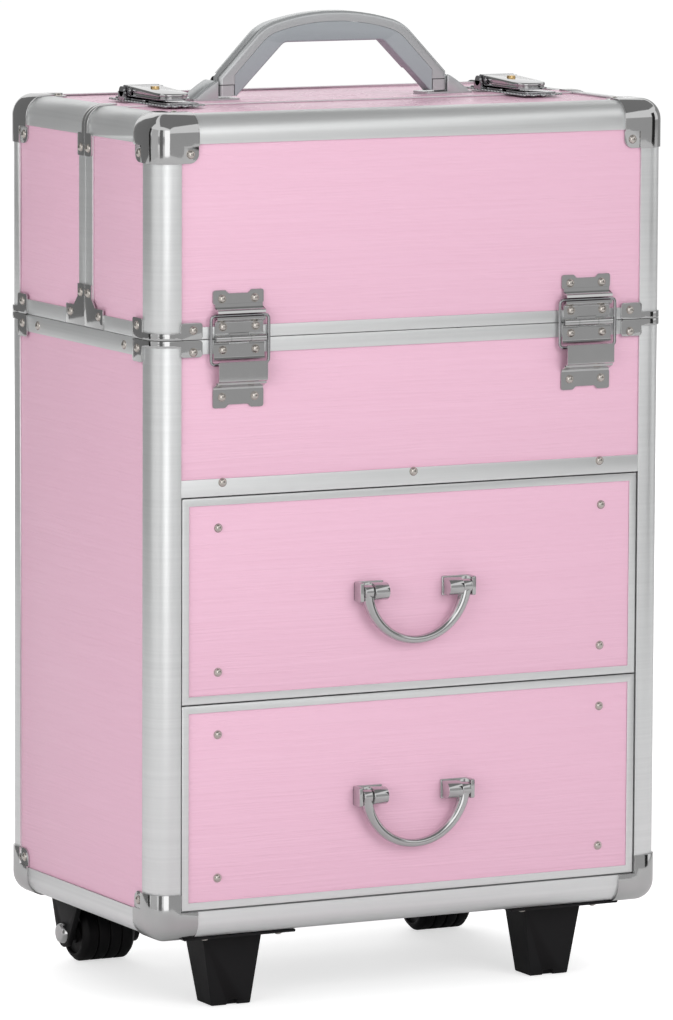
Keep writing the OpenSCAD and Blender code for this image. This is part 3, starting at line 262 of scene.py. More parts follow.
height = add(tree, "MapRange", {"Value": fine.outputs[0], "From Min": 0.38, "From Max": 0.62})
tree.links.new(height.outputs[0], outside.inputs["Height"])
tree.links.new(slow.outputs[0], outside.inputs["Tone"])

# %% Group: gloss broken by handling
tree, inside, outside = group(
    "handled gloss", {"Vector": None, "Base": 0.3, "Spread": 0.06, "Scale": 22.0}, ("Roughness", "Mask"))
clouds = add(tree, "TexNoise", {"Vector": inside.outputs["Vector"], "Scale": inside.outputs["Scale"],
                                "Detail": 5.0, "Roughness": 0.6})
centred = maths(tree, "SUBTRACT", clouds.outputs[0], 0.5)
change = maths(tree, "MULTIPLY", maths(tree, "MULTIPLY", centred, inside.outputs["Spread"]), 4.0)
total = maths(tree, "ADD", change, inside.outputs["Base"], use_clamp=True)
tree.links.new(total, outside.inputs["Roughness"])
tree.links.new(clouds.outputs[0], outside.inputs["Mask"])

# %% Group: edges and hollows
# Pointiness finds sharp edges and hollows. The Edge mask makes sharp edges lighter, and the Hollow mask
# carries painted shade into hollows.
tree, inside, outside = group("edges and hollows", {"Sharp": 0.5}, ("Edge", "Hollow"))
shape = add(tree, "NewGeometry")
edge = add(tree, "MapRange", {"Value": shape.outputs["Pointiness"], "From Min": 0.52, "From Max": 0.58})
hollow = add(tree, "MapRange", {"Value": shape.outputs["Pointiness"], "From Min": 0.48, "From Max": 0.42})
tree.links.new(maths(tree, "MULTIPLY", edge.outputs[0], inside.outputs["Sharp"]), outside.inputs["Edge"])
tree.links.new(hollow.outputs[0], outside.inputs["Hollow"])


# %% Tools for materials
def material(name):
    """A new material, its tree, its shader and its place on the object."""
    made = bpy.data.materials.new(name)
    made.use_nodes = True
    tree = made.node_tree
    shader = tree.nodes["Principled BSDF"]
    place = tree.nodes.new("ShaderNodeTexCoord").outputs["Object"]
    return made, tree, shader, place


def use(tree, name, values=()):
    """One of the groups above, with its input values."""
    return fill(tree, add(tree, "Group", node_tree=bpy.data.node_groups[name]), values)


def streaked(tree, place, turn, length, pitch, waviness):
    """Streaks that run the way of the turn, with their length and their pitch in millimetres."""
    turned = add(tree, "Mapping", {"Vector": place, "Rotation": turn})
    return use(tree, "streaks", {"Vector": turned.outputs[0], "Length": mm(length), "Pitch": mm(pitch),
                                 "Waviness": waviness}).outputs


def handled(tree, place, rough, spread, scale=22.0):
    """Gloss that is uneven from handling: its roughness and its mask."""
    return use(tree, "handled gloss", {"Vector": place, "Base": rough, "Spread": spread,
                                       "Scale": scale}).outputs


def tint(tree, low, high, factor):
    """A colour between two, by a mask."""
    node = add(tree, "Mix", {"Factor": factor, "A": (*low, 1), "B": (*high, 1)}, data_type="RGBA")
    return node.outputs["Result"]


def bump(tree, shader, height, strength, depth):
    """The height as a bump of that depth in millimetres."""
    node = add(tree, "Bump", {"Height": height, "Strength": strength, "Distance": mm(depth)})
    tree.links.new(node.outputs[0], shader.inputs["Normal"])


# %% [markdown]
# ### Pink laminate
#
# The panels are thin board with a printed, embossed foil. Close up it shows faint, slightly wavy
# streaks that run level round the case. They are a stretched noise in the case's own coordinates, so the
# streaks of two neighbouring panels line up as if cut from one sheet. On the lid they run from side to
# side, and the foil there is a little glossier.


# %% Pink laminate
def laminate(name, turn=(0, 0, 0), rough=0.42):
    """Embossed pink foil; turn sets the way its streaks run."""
    made, tree, shader, place = material(name)
    streaks = streaked(tree, place, turn, 75, 1.5, 2.0)
    lines = add(tree, "MapRange", {"Value": streaks["Height"], "From Min": 0.0, "From Max": 0.6})
    plain = tint(tree, (0.86, 0.52, 0.663), (0.895, 0.555, 0.70), streaks["Tone"])
    foil = add(tree, "Mix", {"Factor": lines.outputs[0], "A": (0.868, 0.528, 0.671, 1), "B": plain},
               data_type="RGBA")
    fill(tree, shader, {"Base Color": foil.outputs["Result"], "Specular IOR Level": 0.4,
                        "Roughness": handled(tree, place, rough, 0.05)["Roughness"]})
    bump(tree, shader, streaks["Height"], 0.4, 0.3)
    return made


pink = laminate("pink laminate")
pink_top = laminate("pink laminate of the lid", (math.pi / 2, 0, 0), rough=0.27)


# %% Satin aluminium
def aluminium(name, turn):
    """Anodised rail stock, drawn along its length."""
    made, tree, shader, place = material(name)
    lines = streaked(tree, place, turn, 90, 0.35, 0.2)
    fill(tree, shader, {"Base Color": tint(tree, (0.79, 0.80, 0.80), (0.88, 0.89, 0.89), lines["Tone"]),
                        "Roughness": handled(tree, place, 0.42, 0.03)["Roughness"], "Metallic": 0.84})
    bump(tree, shader, lines["Height"], 0.12, 0.02)
    return made


satin = aluminium("satin aluminium", (0, 0, 0))
satin_upright = aluminium("satin aluminium, upright", (0, math.pi / 2, 0))


# %% Chrome, nickel and steel
# How dark the painted shade in the hollows of plated metal is, as a share of its darker tone.
HOLLOW_SHADE_TONE = 0.55


def bright_metal(name, low, high, rough, spread, grain=0.0):
    """Plated metal with uneven gloss, and painted shade that darkens its hollows."""
    made, tree, shader, place = material(name)
    gloss = handled(tree, place, rough, spread, 60.0)
    form = use(tree, "edges and hollows", {"Sharp": 1.0})
    toned = tint(tree, low, high, gloss["Mask"])
    # Painted shade: the colour falls to a darker tone in hollows, where shade would fall.
    shaded = (*[c * HOLLOW_SHADE_TONE for c in low], 1)
    hollow_shade = add(tree, "Mix", {"A": toned, "B": shaded, "Factor": form.outputs["Hollow"]}, data_type="RGBA")
    fill(tree, shader, {"Base Color": hollow_shade.outputs["Result"], "Roughness": gloss["Roughness"],
                        "Metallic": 1})
    noise = add(tree, "TexNoise", {"Vector": place, "Scale": 900.0, "Detail": 3.0})
    bump(tree, shader, noise.outputs[0], 0.04 + grain, 0.02)
    return made


chrome = bright_metal("chrome plate", (0.51, 0.51, 0.51), (0.58, 0.58, 0.58), 0.09, 0.015)
wire_steel = bright_metal("chromed wire", (0.36, 0.36, 0.37), (0.46, 0.46, 0.47), 0.1, 0.02)
nickel = bright_metal("nickel rivet", (0.55, 0.51, 0.47), (0.66, 0.62, 0.58), 0.2, 0.03)
zinc = bright_metal("zinc plated steel", (0.44, 0.45, 0.46), (0.56, 0.57, 0.58), 0.36, 0.05, 0.05)
brass = bright_metal("brass lock", (0.62, 0.42, 0.18), (0.72, 0.52, 0.26), 0.22, 0.03)


# %% Plastics and lining
def moulding(name, low, high, rough, grain_size, grain_depth, metallic=0.0, specular=0.5):
    """Moulded plastic: a fine spark-eroded grain, in millimetres, and lighter towards its sharp edges."""
    made, tree, shader, place = material(name)
    form = use(tree, "edges and hollows", {"Sharp": 0.6})
    fill(tree, shader, {"Base Color": tint(tree, low, high, form.outputs["Edge"]), "Metallic": metallic,
                        "Roughness": handled(tree, place, rough, 0.05, 35.0)["Roughness"],
                        "Specular IOR Level": specular})
    grain = add(tree, "TexVoronoi", {"Vector": place, "Scale": 1000 / grain_size}, feature="SMOOTH_F1")
    bump(tree, shader, grain.outputs["Distance"], 0.3, grain_depth)
    return made


black_plastic = moulding("black moulding", (0.005, 0.0045, 0.005), (0.012, 0.012, 0.013), 0.5, 1.1, 0.05,
                         specular=0.17)
wheel_black = moulding("wheel tread", (0.004, 0.0036, 0.004), (0.012, 0.012, 0.013), 0.5, 0.9, 0.05,
                       specular=0.17)
silver_paint = moulding("silver painted plastic", (0.49, 0.51, 0.515), (0.59, 0.61, 0.615), 0.24, 0.6, 0.01,
                        metallic=0.55)
soft_insert = moulding("matte grip insert", (0.315, 0.36, 0.374), (0.38, 0.425, 0.44), 0.5, 0.6, 0.02)

WEAVE = 450.0
lining, tree, shader, place = material("dark lining")
level = add(tree, "TexWave", {"Vector": place, "Scale": WEAVE}, bands_direction="X")
slant = add(tree, "TexWave", {"Vector": place, "Scale": WEAVE}, bands_direction="DIAGONAL")
cloth = maths(tree, "MULTIPLY", level.outputs["Fac"], slant.outputs["Fac"])
fill(tree, shader, {"Base Color": tint(tree, (0.028, 0.028, 0.031), (0.055, 0.055, 0.06), cloth),
                    "Roughness": 0.8, "Sheen Weight": 0.15})
bump(tree, shader, cloth, 0.4, 0.15)

# %% [markdown]
# ## Rounding the solids
#
# A solid's edges are perfectly sharp, and a sharp edge never catches the light. The solid itself stays
# untouched. A copy of its mesh is merged, its flat faces are joined again, and every sharp edge is
# bevelled by a few tenths of a millimetre, as pressing, sawing and plating leave it on the real part.


# %% Tools for pieces
MERGE_DISTANCE, FLAT_ANGLE = 0.002, 0.8
body_of = {node: body for body, nodes in frame["record"]["behaviour"]["bodies"].items() for node in nodes}


def finished(bm, node, name, paint, smooth=40):
    """A closed bmesh as a piece that takes a solid's place and moves with the solid's body."""
    ob = in_scene(name, as_mesh(bm, name))
    ob.data.shade_smooth()
    ob.data.set_sharp_from_angle(angle=math.radians(smooth))
    for finish in paint if isinstance(paint, list) else [paint]:
        ob.data.materials.append(finish)
    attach(ob, body_of[node])
    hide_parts(node)


def bevel(bm, edges, width, segments):
    """Bevels edges by a width in millimetres."""
    bmesh.ops.bevel(bm, geom=edges, offset=mm(width), offset_type="OFFSET", affect="EDGES",
                    segments=segments, profile=0.5, material=-1, clamp_overlap=True)


def soften(bm, width, angle=32, segments=2):
    """Bevels the edges that are sharper than the angle, given in degrees."""
    sharp = [e for e in bm.edges if e.is_manifold and e.calc_face_angle(0) > math.radians(angle)]
    bevel(bm, sharp, width, segments)


def merged(node):
    """A copy of a solid's mesh with its triangles joined at their corners."""
    bm = bmesh.new()
    bm.from_mesh(frame["nodes"][node].data)
    bmesh.ops.remove_doubles(bm, verts=bm.verts, dist=mm(MERGE_DISTANCE))
    return bm


def from_solid(node, width, segments=2):
    """A merged copy of a solid with whole flat faces and softened edges."""
    bm = merged(node)
    bmesh.ops.dissolve_limit(bm, angle_limit=math.radians(FLAT_ANGLE), verts=bm.verts, edges=bm.edges,
                             delimit=set())
    soften(bm, width, segments=segments)
    return bm


def paint_new(bm, count, index):
    """Gives another finish to the faces that were added after the first so many."""
    bm.faces.ensure_lookup_table()
    for face in bm.faces[count:]:
        face.material_index = index


# %% Tools for pressed and turned shapes
HEAD_R, HEAD_H, HEAD_SIDES = 2.7, 1.7, 22


def rounded(points, radius, closed=True, steps=3):
    """The same outline with its corners rounded."""
    out, last = [], len(points) - 1
    for i, point in enumerate(points):
        if not closed and i in (0, last):
            out.append(tuple(point))
            continue
        corner = Vector(point)
        before, after = Vector(points[i - 1]) - corner, Vector(points[(i + 1) % (last + 1)]) - corner
        cut = min(radius / math.tan(before.angle(after) / 2), before.length * 0.49, after.length * 0.49)
        start, end = corner + before.normalized() * cut, corner + after.normalized() * cut
        for k in range(steps + 1):
            t = k / steps
            out.append(tuple((1 - t) ** 2 * start + 2 * t * (1 - t) * corner + t * t * end))
    return out


def sheet(path, thickness):
    """The outline of a bent sheet that follows a path and is thick to the left of it."""
    points = [Vector(p) for p in path]
    far = []
    for i, point in enumerate(points):
        way = (points[min(i + 1, len(points) - 1)] - points[max(i - 1, 0)]).normalized()
        far.append(point + Vector((-way.y, way.x)) * thickness)
    return [tuple(p) for p in points] + [tuple(p) for p in reversed(far)]


def bar(bm, outline, axis, low, high):
    """An outline drawn across an axis and extruded along it; returns its vertices."""
    turn = {"x": lambda u, v: (low, u, v), "y": lambda u, v: (u, low, v),
            "z": lambda u, v: (u, v, low)}[axis]
    flat = [bm.verts.new(mm(*turn(u, v))) for u, v in outline]
    face = bm.faces.new(flat)
    made = bmesh.ops.extrude_face_region(bm, geom=[face])["geom"]
    moved = [v for v in made if isinstance(v, bmesh.types.BMVert)]
    step = Vector([float(axis == name) for name in "xyz"]) * mm(high - low)
    bmesh.ops.translate(bm, verts=moved, vec=step)
    bmesh.ops.recalc_face_normals(bm, faces=list({f for v in flat + moved for f in v.link_faces}))
    return flat + moved


def block(bm, low, high):
    """A box between two corners."""
    return bar(bm, [(low[0], low[1]), (high[0], low[1]), (high[0], high[1]), (low[0], high[1])], "z",
               low[2], high[2])


def pointing(place, way):
    """The matrix that turns a shape's z axis to point a way from a place in metres."""
    return Matrix.Translation(place) @ Vector(way).to_track_quat("Z", "Y").to_matrix().to_4x4()


def rod(bm, start, end, radius, sides=24):
    """A round bar between two points; one radius, or one for each end."""
    start, end = Vector(start), Vector(end)
    first, second = radius if isinstance(radius, tuple) else (radius, radius)
    bmesh.ops.create_cone(bm, cap_ends=True, segments=sides, radius1=mm(first), radius2=mm(second),
                          depth=mm((end - start).length), matrix=pointing((start + end) / 2000, end - start))


def wire(bm, path, radii, closed=False, sides=14):
    """A wire along a path, with one radius at each point."""
    loops, points = [], [Vector(p) for p in path]
    last = len(points) - 1
    for i, point in enumerate(points):
        after = points[(i + 1) % (last + 1)] if closed else points[min(i + 1, last)]
        before = points[i - 1] if closed or i else points[0]
        ring = bmesh.ops.create_circle(bm, cap_ends=False, segments=sides, radius=mm(radii[i]),
                                       matrix=pointing(point / 1000, after - before))["verts"]
        loops.append([e for e in {e for v in ring for e in v.link_edges} if e.is_wire])
    for i in range(len(loops) - (0 if closed else 1)):
        bmesh.ops.bridge_loops(bm, edges=loops[i] + loops[(i + 1) % len(loops)])
    if not closed:
        bmesh.ops.holes_fill(bm, edges=loops[0] + loops[-1], sides=0)
    bmesh.ops.recalc_face_normals(bm, faces=bm.faces)


def both_sides(bm):
    """Adds the same shape on the other side of the case's middle plane."""
    copy = bmesh.ops.duplicate(bm, geom=bm.verts[:] + bm.edges[:] + bm.faces[:])["geom"]
    bmesh.ops.scale(bm, vec=(-1, 1, 1), verts=[v for v in copy if isinstance(v, bmesh.types.BMVert)])
    bmesh.ops.reverse_faces(bm, faces=[f for f in copy if isinstance(f, bmesh.types.BMFace)])


def dome(bm, place, outward, height=HEAD_H):
    """A rivet's head: a shallow dome on a thin rim."""
    at = pointing(mm(*place), outward)
    bmesh.ops.create_cone(bm, cap_ends=True, segments=HEAD_SIDES, radius1=mm(HEAD_R + 0.15),
                          radius2=mm(HEAD_R), depth=mm(0.5), matrix=at @ Matrix.Translation(mm(0, 0, 0.1)))
    wide = mm(HEAD_R - 0.25)
    bmesh.ops.create_uvsphere(bm, u_segments=HEAD_SIDES, v_segments=12, radius=1,
                              matrix=at @ Matrix.Diagonal((wide, wide, mm(height), 1)))


def islands(bm):
    """The separate shells of a mesh, each as a list of vertices."""
    left, out = set(bm.verts), []
    while left:
        shell = [left.pop()]
        for v in shell:
            near = {e.other_vert(v) for e in v.link_edges} & left
            left -= near
            shell.extend(near)
        out.append(shell)
    return out


# %% Pieces that keep a solid's form
SOLIDS = [
    # bevel, finish, slot, and the piece that takes each solid's place
    (0.2, pink, "pink_laminate", {
        "base_walls": "cabinet_walls", "front_apron_panel": "apron_panel",
        "front_lid_walls": "front_lid_panels", "rear_lid_walls": "rear_lid_panels",
        "upper_drawer_front": "upper_drawer_panel", "lower_drawer_front": "lower_drawer_panel"}),
    (0.2, pink_top, "pink_laminate", {
        "front_lid_top": "front_lid_top_panel", "rear_lid_top": "rear_lid_top_panel"}),
    (0.25, satin, "brushed_aluminium", {
        "base_edge_rails": "cabinet_edge_rails", "base_rim_rails": "cabinet_rim_rails",
        "apron_trim_rail": "apron_rail", "front_lid_edge_rails": "front_lid_rails",
        "rear_lid_edge_rails": "rear_lid_rails", "upper_drawer_trim": "upper_drawer_frame",
        "lower_drawer_trim": "lower_drawer_frame"}),
    (0.25, [satin, pink_top], "brushed_aluminium", {
        "front_lid_channels": "front_lid_rims", "rear_lid_channels": "rear_lid_rims"}),
    (0.3, satin_upright, "brushed_aluminium", {
        "telescopic_sleeves": "outer_pull_tubes", "telescopic_middle_tubes": "middle_pull_tubes"}),
    (0.25, chrome, "chrome_plate", {
        "base_corner_fittings": "cabinet_corners", "front_lid_fittings": "front_lid_corners",
        "rear_lid_fittings": "rear_lid_corners"}),
    (0.2, chrome, "chrome_plate", {"hinge_pins_and_axles": "pins_and_axles"}),
    (0.3, zinc, "zinc_steel", {
        "drawer_runners": "runners", "tray_pivot_straps": "tray_straps",
        "front_inner_arms": "front_inner_tray_arms", "front_outer_arms": "front_outer_tray_arms",
        "rear_inner_arms": "rear_inner_tray_arms", "rear_outer_arms": "rear_outer_tray_arms"}),
    (0.6, black_plastic, "black_plastic", {
        "wheel_brackets": "castor_brackets", "telescopic_grip": "pull_grip"}),
    (0.5, wheel_black, "wheel_rubber", {"left_wheel": "left_tyre", "right_wheel": "right_tyre"}),
    (0.5, silver_paint, "grey_plastic", {"telescopic_button": "pull_button"}),
    (0.2, lining, "dark_lining", {"base_floors": "cabinet_floors"}),
    (0.3, lining, "dark_lining", {
        "upper_drawer_box": "upper_drawer_tub", "lower_drawer_box": "lower_drawer_tub",
        "front_lower_tray": "front_lower_tray_tub", "front_upper_tray": "front_upper_tray_tub",
        "rear_lower_tray": "rear_lower_tray_tub", "rear_upper_tray": "rear_upper_tray_tub"}),
]


def paint_upper_faces(bm):
    """Gives the second finish to the faces that lie in the lid's top, beside the top panels."""
    for face in bm.faces:
        face.material_index = int(face.normal.z > 0.9 and face.calc_center_median().z > mm(TOP_Z - 0.5))


for width, paint, slot, pieces in SOLIDS:
    for node, name in pieces.items():
        bm = from_solid(node, width)
        if isinstance(paint, list):
            paint_upper_faces(bm)
        finished(bm, node, name, paint)

# %% [markdown]
# ## Rivets
#
# Each fastener node is a handful of small domes. The shells of its mesh give the places, and the side of
# the case that a shell lies on gives the way its head points.

# %% Rivet heads
RIVETS = {"base_fasteners": "cabinet_rivets", "front_lid_rivets": "front_lid_rivet_heads",
          "rear_lid_rivets": "rear_lid_rivet_heads"}
MIDDLE_HEIGHT = 300.0


def rivet(bm, shell):
    """A head in the place of one shell of a fastener node."""
    low = Vector([min(v.co[k] for v in shell) for k in range(3)]) * 1000
    high = Vector([max(v.co[k] for v in shell) for k in range(3)]) * 1000
    thin = min(range(3), key=lambda k: high[k] - low[k])
    middle = (low + high) / 2
    away = -1.0 if middle[thin] < (MIDDLE_HEIGHT if thin == 2 else 0) else 1.0
    middle[thin] = low[thin] if away > 0 else high[thin]
    dome(bm, middle, [away * (k == thin) for k in range(3)], min(HEAD_H, high[thin] - low[thin]))


for node, name in RIVETS.items():
    source = merged(node)
    bm = bmesh.new()
    for shell in islands(source):
        rivet(bm, shell)
    source.free()
    finished(bm, node, name, nickel)

# %% [markdown]
# ## Ring hinges
#
# A leaf is one pressed sheet: a riveted foot on the panel, a bead that holds the ring, a plate on the rim
# and the knuckles. Each part is drawn from the side, as distance from the rail's face and height over the
# pin, and is extruded along the hinge. The feet are drawn from the front, with their notch.

# %% Hinge leaves and rings
HINGE_X, HINGE_HALF = 119.5, 17.0
RING_OUT, RING_Z, RING_ARM, RING_R = 1.9, 14.0, 19.4, 1.0
PIN_OUT, KNUCKLE_R = 2.5, 2.2
FOOT_IN = -RAIL_T


def from_side(bm, outline, x0, x1, facing, up):
    """Extrudes a side view along x; distances are outwards, heights run up or down from the pin."""
    bar(bm, [(facing * (HALF_D + out), SEAM_Z + up * z) for out, z in outline], "x", x0, x1)


def pressed(bm, x, facing, up, side_view, bend, thickness, span):
    """A sheet that is bent to a side view, over a span of the hinge's width."""
    path = rounded(side_view, bend, closed=False)
    from_side(bm, sheet(path, thickness), x + span[0], x + span[1], facing, up)


def leaf_foot(bm, x, facing, up, near, far):
    """The riveted foot with two tabs round a notch."""
    right = [(HINGE_HALF, near), (HINGE_HALF, far), (8.6, far), (6.6, far - 2)]
    outline = rounded([(-HINGE_HALF, near)] + right + [(-u, z) for u, z in reversed(right[1:])], 1.6)
    inner, outer = facing * (HALF_D + FOOT_IN), facing * (HALF_D + FOOT_IN + 1)
    bar(bm, [(x + u, SEAM_Z + up * z) for u, z in outline], "y", min(inner, outer), max(inner, outer))


def knuckles(bm, x, facing, up, spans):
    """Rolled knuckles with the strips that join them to the plate."""
    circle = [(PIN_OUT + KNUCKLE_R * math.cos(a), KNUCKLE_R * math.sin(a))
              for a in (math.radians(20 * k) for k in range(18))]
    for start, end in spans:
        from_side(bm, circle, x + start, x + end, facing, up)
        from_side(bm, [(0, 0.3), (1, 0.3), (1, 3.4), (0, 3.4)], x + start, x + end, facing, up)


def lid_leaf(bm, x, facing):
    """The upper leaf: foot, dark groove, bead over the ring's bar, slot, lip and plate."""
    leaf_foot(bm, x, facing, 1, 20.6, 29.2)
    bead = [(FOOT_IN + 1, 21.0), (FOOT_IN + 1, 18.6), (0.9, 17.4), (4.0, 16.9), (4.3, 15.3)]
    pressed(bm, x, facing, 1, bead, 0.7, 0.9, (-16, 16))
    pressed(bm, x, facing, 1, [(1.0, 3.2), (1.0, 10.0), (4.4, 11.5), (4.4, 13.2)], 0.5, 1, (-16.2, 16.2))
    knuckles(bm, x, facing, 1, [(-6.6, 6.6)])


def base_leaf(bm, x, facing):
    """The lower leaf: plate, slot, broad cover over the ring's pocket, bead and foot."""
    leaf_foot(bm, x, facing, -1, 30.2, 42)
    pressed(bm, x, facing, -1, [(1.0, 3.2), (1.0, 11.2), (1.9, 12.4)], 0.5, 1, (-17, 17))
    cover = [(6.4, 13.7), (6.4, 25.4), (4.6, 26.4), (4.3, 27.6)]
    pressed(bm, x, facing, -1, cover, 0.5, 0.9, (-16, 16.8))
    bead = [(4.3, 27.2), (2.6, 28.4), (FOOT_IN + 1.2, 29.6), (FOOT_IN + 1, 30.8)]
    pressed(bm, x, facing, -1, bead, 0.5, 0.9, (-16.7, 16.7))
    knuckles(bm, x, facing, -1, [(-16.9, -6.8), (6.8, 16.9)])


def leaves(node, name, kind, facings):
    """The left and the right leaf of one kind, on each face that is named."""
    bm = bmesh.new()
    for facing in facings:
        for x in (-HINGE_X, HINGE_X):
            kind(bm, x, facing)
    soften(bm, 0.15, angle=40, segments=1)
    finished(bm, node, name, chrome, smooth=35)


def rings(node, name, facing):
    """Two rectangular wires with rounded corners, with their lower bars in the pockets."""
    bm = bmesh.new()
    arm, low, y = RING_ARM, -RING_Z - 1.6, facing * (HALF_D + RING_OUT)
    path = rounded([(-arm, low), (arm, low), (arm, RING_Z), (-arm, RING_Z)], 3.2, steps=4)
    for x in (-HINGE_X, HINGE_X):
        wire(bm, [(x + u, y, SEAM_Z + v) for u, v in path], [RING_R] * len(path), closed=True)
    finished(bm, node, name, wire_steel, smooth=60)


leaves("hinge_base_leaves", "cabinet_hinge_leaves", base_leaf, (-1, 1))
leaves("front_hinge_lid_leaves", "front_lid_hinge_leaves", lid_leaf, (-1,))
leaves("rear_hinge_lid_leaves", "rear_lid_hinge_leaves", lid_leaf, (1,))
rings("front_hinge_rings", "front_hinge_wires", -1)
rings("rear_hinge_rings", "rear_hinge_wires", 1)

# %% [markdown]
# ## Drawer pulls
#
# The bail is a half round of chrome rod that grows thicker towards its eyes. Each eye turns between a
# square cheek and a round barrel on a square base. The four rivets of the drawer's front belong to the
# same solid as the posts.

# %% Drawer pulls
PULL_HEIGHTS = {"upper": 254.25, "lower": 128.05}
PANEL_Y, BAIL_Y = -104.5, -111.2
BAIL_HALF, BAIL_DROP, BAIL_THIN, BAIL_THICK = 33.9, 31.3, 2.5, 3.9
BAIL_STEPS = 16
POST_X, POST_WIDE, POST_HIGH = 30.1, 9.8, 6.0
PANEL_RIVET_X, PANEL_RIVET_Z = 132.1, 44.0


def pull_bail(node, name, mid):
    """A hanging arc that is thinnest in its middle, with an eye at each end."""
    bm = bmesh.new()
    arc_r = (BAIL_HALF ** 2 + BAIL_DROP ** 2) / (2 * BAIL_DROP)
    reach = math.atan2(BAIL_HALF, arc_r - BAIL_DROP)
    path, radii = [], []
    for k in range(2 * BAIL_STEPS + 1):
        part = k / BAIL_STEPS - 1
        a = reach * part
        path.append((arc_r * math.sin(a), BAIL_Y, mid + arc_r - BAIL_DROP - arc_r * math.cos(a)))
        radii.append(BAIL_THIN + (BAIL_THICK - BAIL_THIN) * abs(part) ** 1.6)
    wire(bm, path, radii, sides=20)
    for x in (-BAIL_HALF, BAIL_HALF):
        rod(bm, (x - 3, BAIL_Y, mid), (x + 3, BAIL_Y, mid), 4.2, sides=32)
    soften(bm, 0.7, angle=50, segments=3)
    finished(bm, node, name, chrome, smooth=50)


def pull_posts(node, name, mid):
    """Two posts, each a base, a cheek, a barrel on its strip and a thin pin, and four rivets."""
    bm = bmesh.new()
    inner, outer, low, high = POST_X - POST_WIDE, POST_X + POST_WIDE, mid - POST_HIGH, mid + POST_HIGH
    base = rounded([(inner, low), (outer, low), (outer, high), (inner, high)], 0.8)
    bar(bm, base, "y", PANEL_Y - 1.4, PANEL_Y)
    front = PANEL_Y - 9.3
    cheek = rounded([(PANEL_Y, low), (PANEL_Y, high), (front, high), (front, low)], 1.2)
    bar(bm, cheek, "x", outer - 2.6, outer)
    rod(bm, (inner + 0.5, BAIL_Y, mid), (BAIL_HALF - 3.4, BAIL_Y, mid), 5.4, sides=36)
    bar(bm, [(PANEL_Y, mid - 5.2), (BAIL_Y, mid - 5.2), (BAIL_Y, mid + 5.2), (PANEL_Y, mid + 5.2)], "x",
        inner + 0.6, BAIL_HALF - 3.5)
    rod(bm, (BAIL_HALF - 5, BAIL_Y, mid), (outer - 1, BAIL_Y, mid), 1.7)
    soften(bm, 0.35, angle=40)
    both_sides(bm)
    metal = len(bm.faces)
    for x in (-PANEL_RIVET_X, PANEL_RIVET_X):
        for z in (mid - PANEL_RIVET_Z, mid + PANEL_RIVET_Z):
            dome(bm, (x, PANEL_Y, z), (0, -1, 0))
    paint_new(bm, metal, 1)
    finished(bm, node, name, [chrome, nickel])


for row, mid in PULL_HEIGHTS.items():
    pull_bail(row + "_pull_bail", row + "_pull_loop", mid)
    pull_posts(row + "_pull_posts", row + "_pull_mounts", mid)

# %% [markdown]
# ## Carry handle
#
# The handle is a flat arch of two glossy shells round a dark core, which shows as a thin seam near the
# front edge. A matte grip fills the arch inside, flush with the shells. The same arcs that shape the solid
# draw all of them: a crown, two shoulders and two straight slopes, moved inwards for the grip and the
# core. Depths are counted from the pivot, heights from the lid's top.

# %% Arch of the handle
HANDLE_Y = SPLIT_Y + 20
CROWN_R, CROWN_X, SHOULDER_R, SLOPE = 145.0, 41.0, 30.0, math.radians(46)
GRIP_TOP, GRIP_IN, IN_TOP_X, IN_FOOT_X, IN_CORNER_R = 53.3, 34.5, 34.5, 67.0, 6.0
BARREL_X, LEG_LOW, GRIP_HALF, GRIP_REAR = 78.8, 2.2, 9.5, 7.2
FOOT_SEAM, REAR_FOOT = 9.1, 16.0
SEAM_AT, SEAM_HALF = -6.4, 0.5
SHELL_T, CORE_IN, GRIP_FROM = 6.3, 0.9, 6.5
PIVOT_UP, BARREL_R = 8.0, 6.4


def turned(centre, radius, start, end, count):
    """Points on an arc, with the angles counted from upright."""
    return [(centre[0] + radius * math.sin(a), centre[1] + radius * math.cos(a))
            for a in (start + (end - start) * k / count for k in range(count + 1))]


def arch_edge(inset, foot_x):
    """Right half of the arch's outer edge, moved inwards, with its slope drawn out to foot_x."""
    crown_turn = math.asin(CROWN_X / CROWN_R)
    crown = (0, GRIP_TOP - CROWN_R)
    shoulder = ((CROWN_R - SHOULDER_R) * math.sin(crown_turn),
                crown[1] + (CROWN_R - SHOULDER_R) * math.cos(crown_turn))
    edge = turned(crown, CROWN_R - inset, crown_turn / 8, crown_turn * 7 / 8, 6)
    edge += turned(shoulder, SHOULDER_R - inset, crown_turn, SLOPE, 7)
    top = edge[-1]
    return edge + [(foot_x, top[1] - (foot_x - top[0]) * math.tan(SLOPE))]


def leg_edge(inset, foot_x, foot):
    """The same half with an upright leg under its slope, down to a height."""
    return arch_edge(inset, foot_x) + [(foot_x, foot)]


def cut_edge(inset, foot):
    """The same half, with its slope cut off level at a height."""
    top = arch_edge(inset, 0)[-2]
    return arch_edge(inset, top[0] + (top[1] - foot) / math.tan(SLOPE))


def inner_edge(foot):
    """Right half of the arch's inner edge down to a height: a rounded corner and a straight leg."""
    slope = math.atan2(GRIP_IN - 2, IN_FOOT_X - IN_TOP_X)
    corner = turned((IN_TOP_X - IN_CORNER_R * math.tan(slope / 2), GRIP_IN - IN_CORNER_R), IN_CORNER_R, 0,
                    slope, 4)
    top = corner[-1]
    return corner + [(top[0] + (top[1] - foot) * (IN_FOOT_X - top[0]) / (top[1] - LEG_LOW), foot)]


def halves(points):
    """Both halves of an edge, from its right half."""
    return points + [(-x, z) for x, z in reversed(points)]


def band(outer, inner):
    """The outline between two arches that both end at the feet."""
    return halves(outer)[len(outer):] + outer + list(reversed(inner)) + [(-x, z) for x, z in inner]


def handle_slice(bm, outline, front, rear):
    """An outline of the arch between two depths."""
    bar(bm, [(x, TOP_Z + z) for x, z in outline], "y", HANDLE_Y + front, HANDLE_Y + rear)


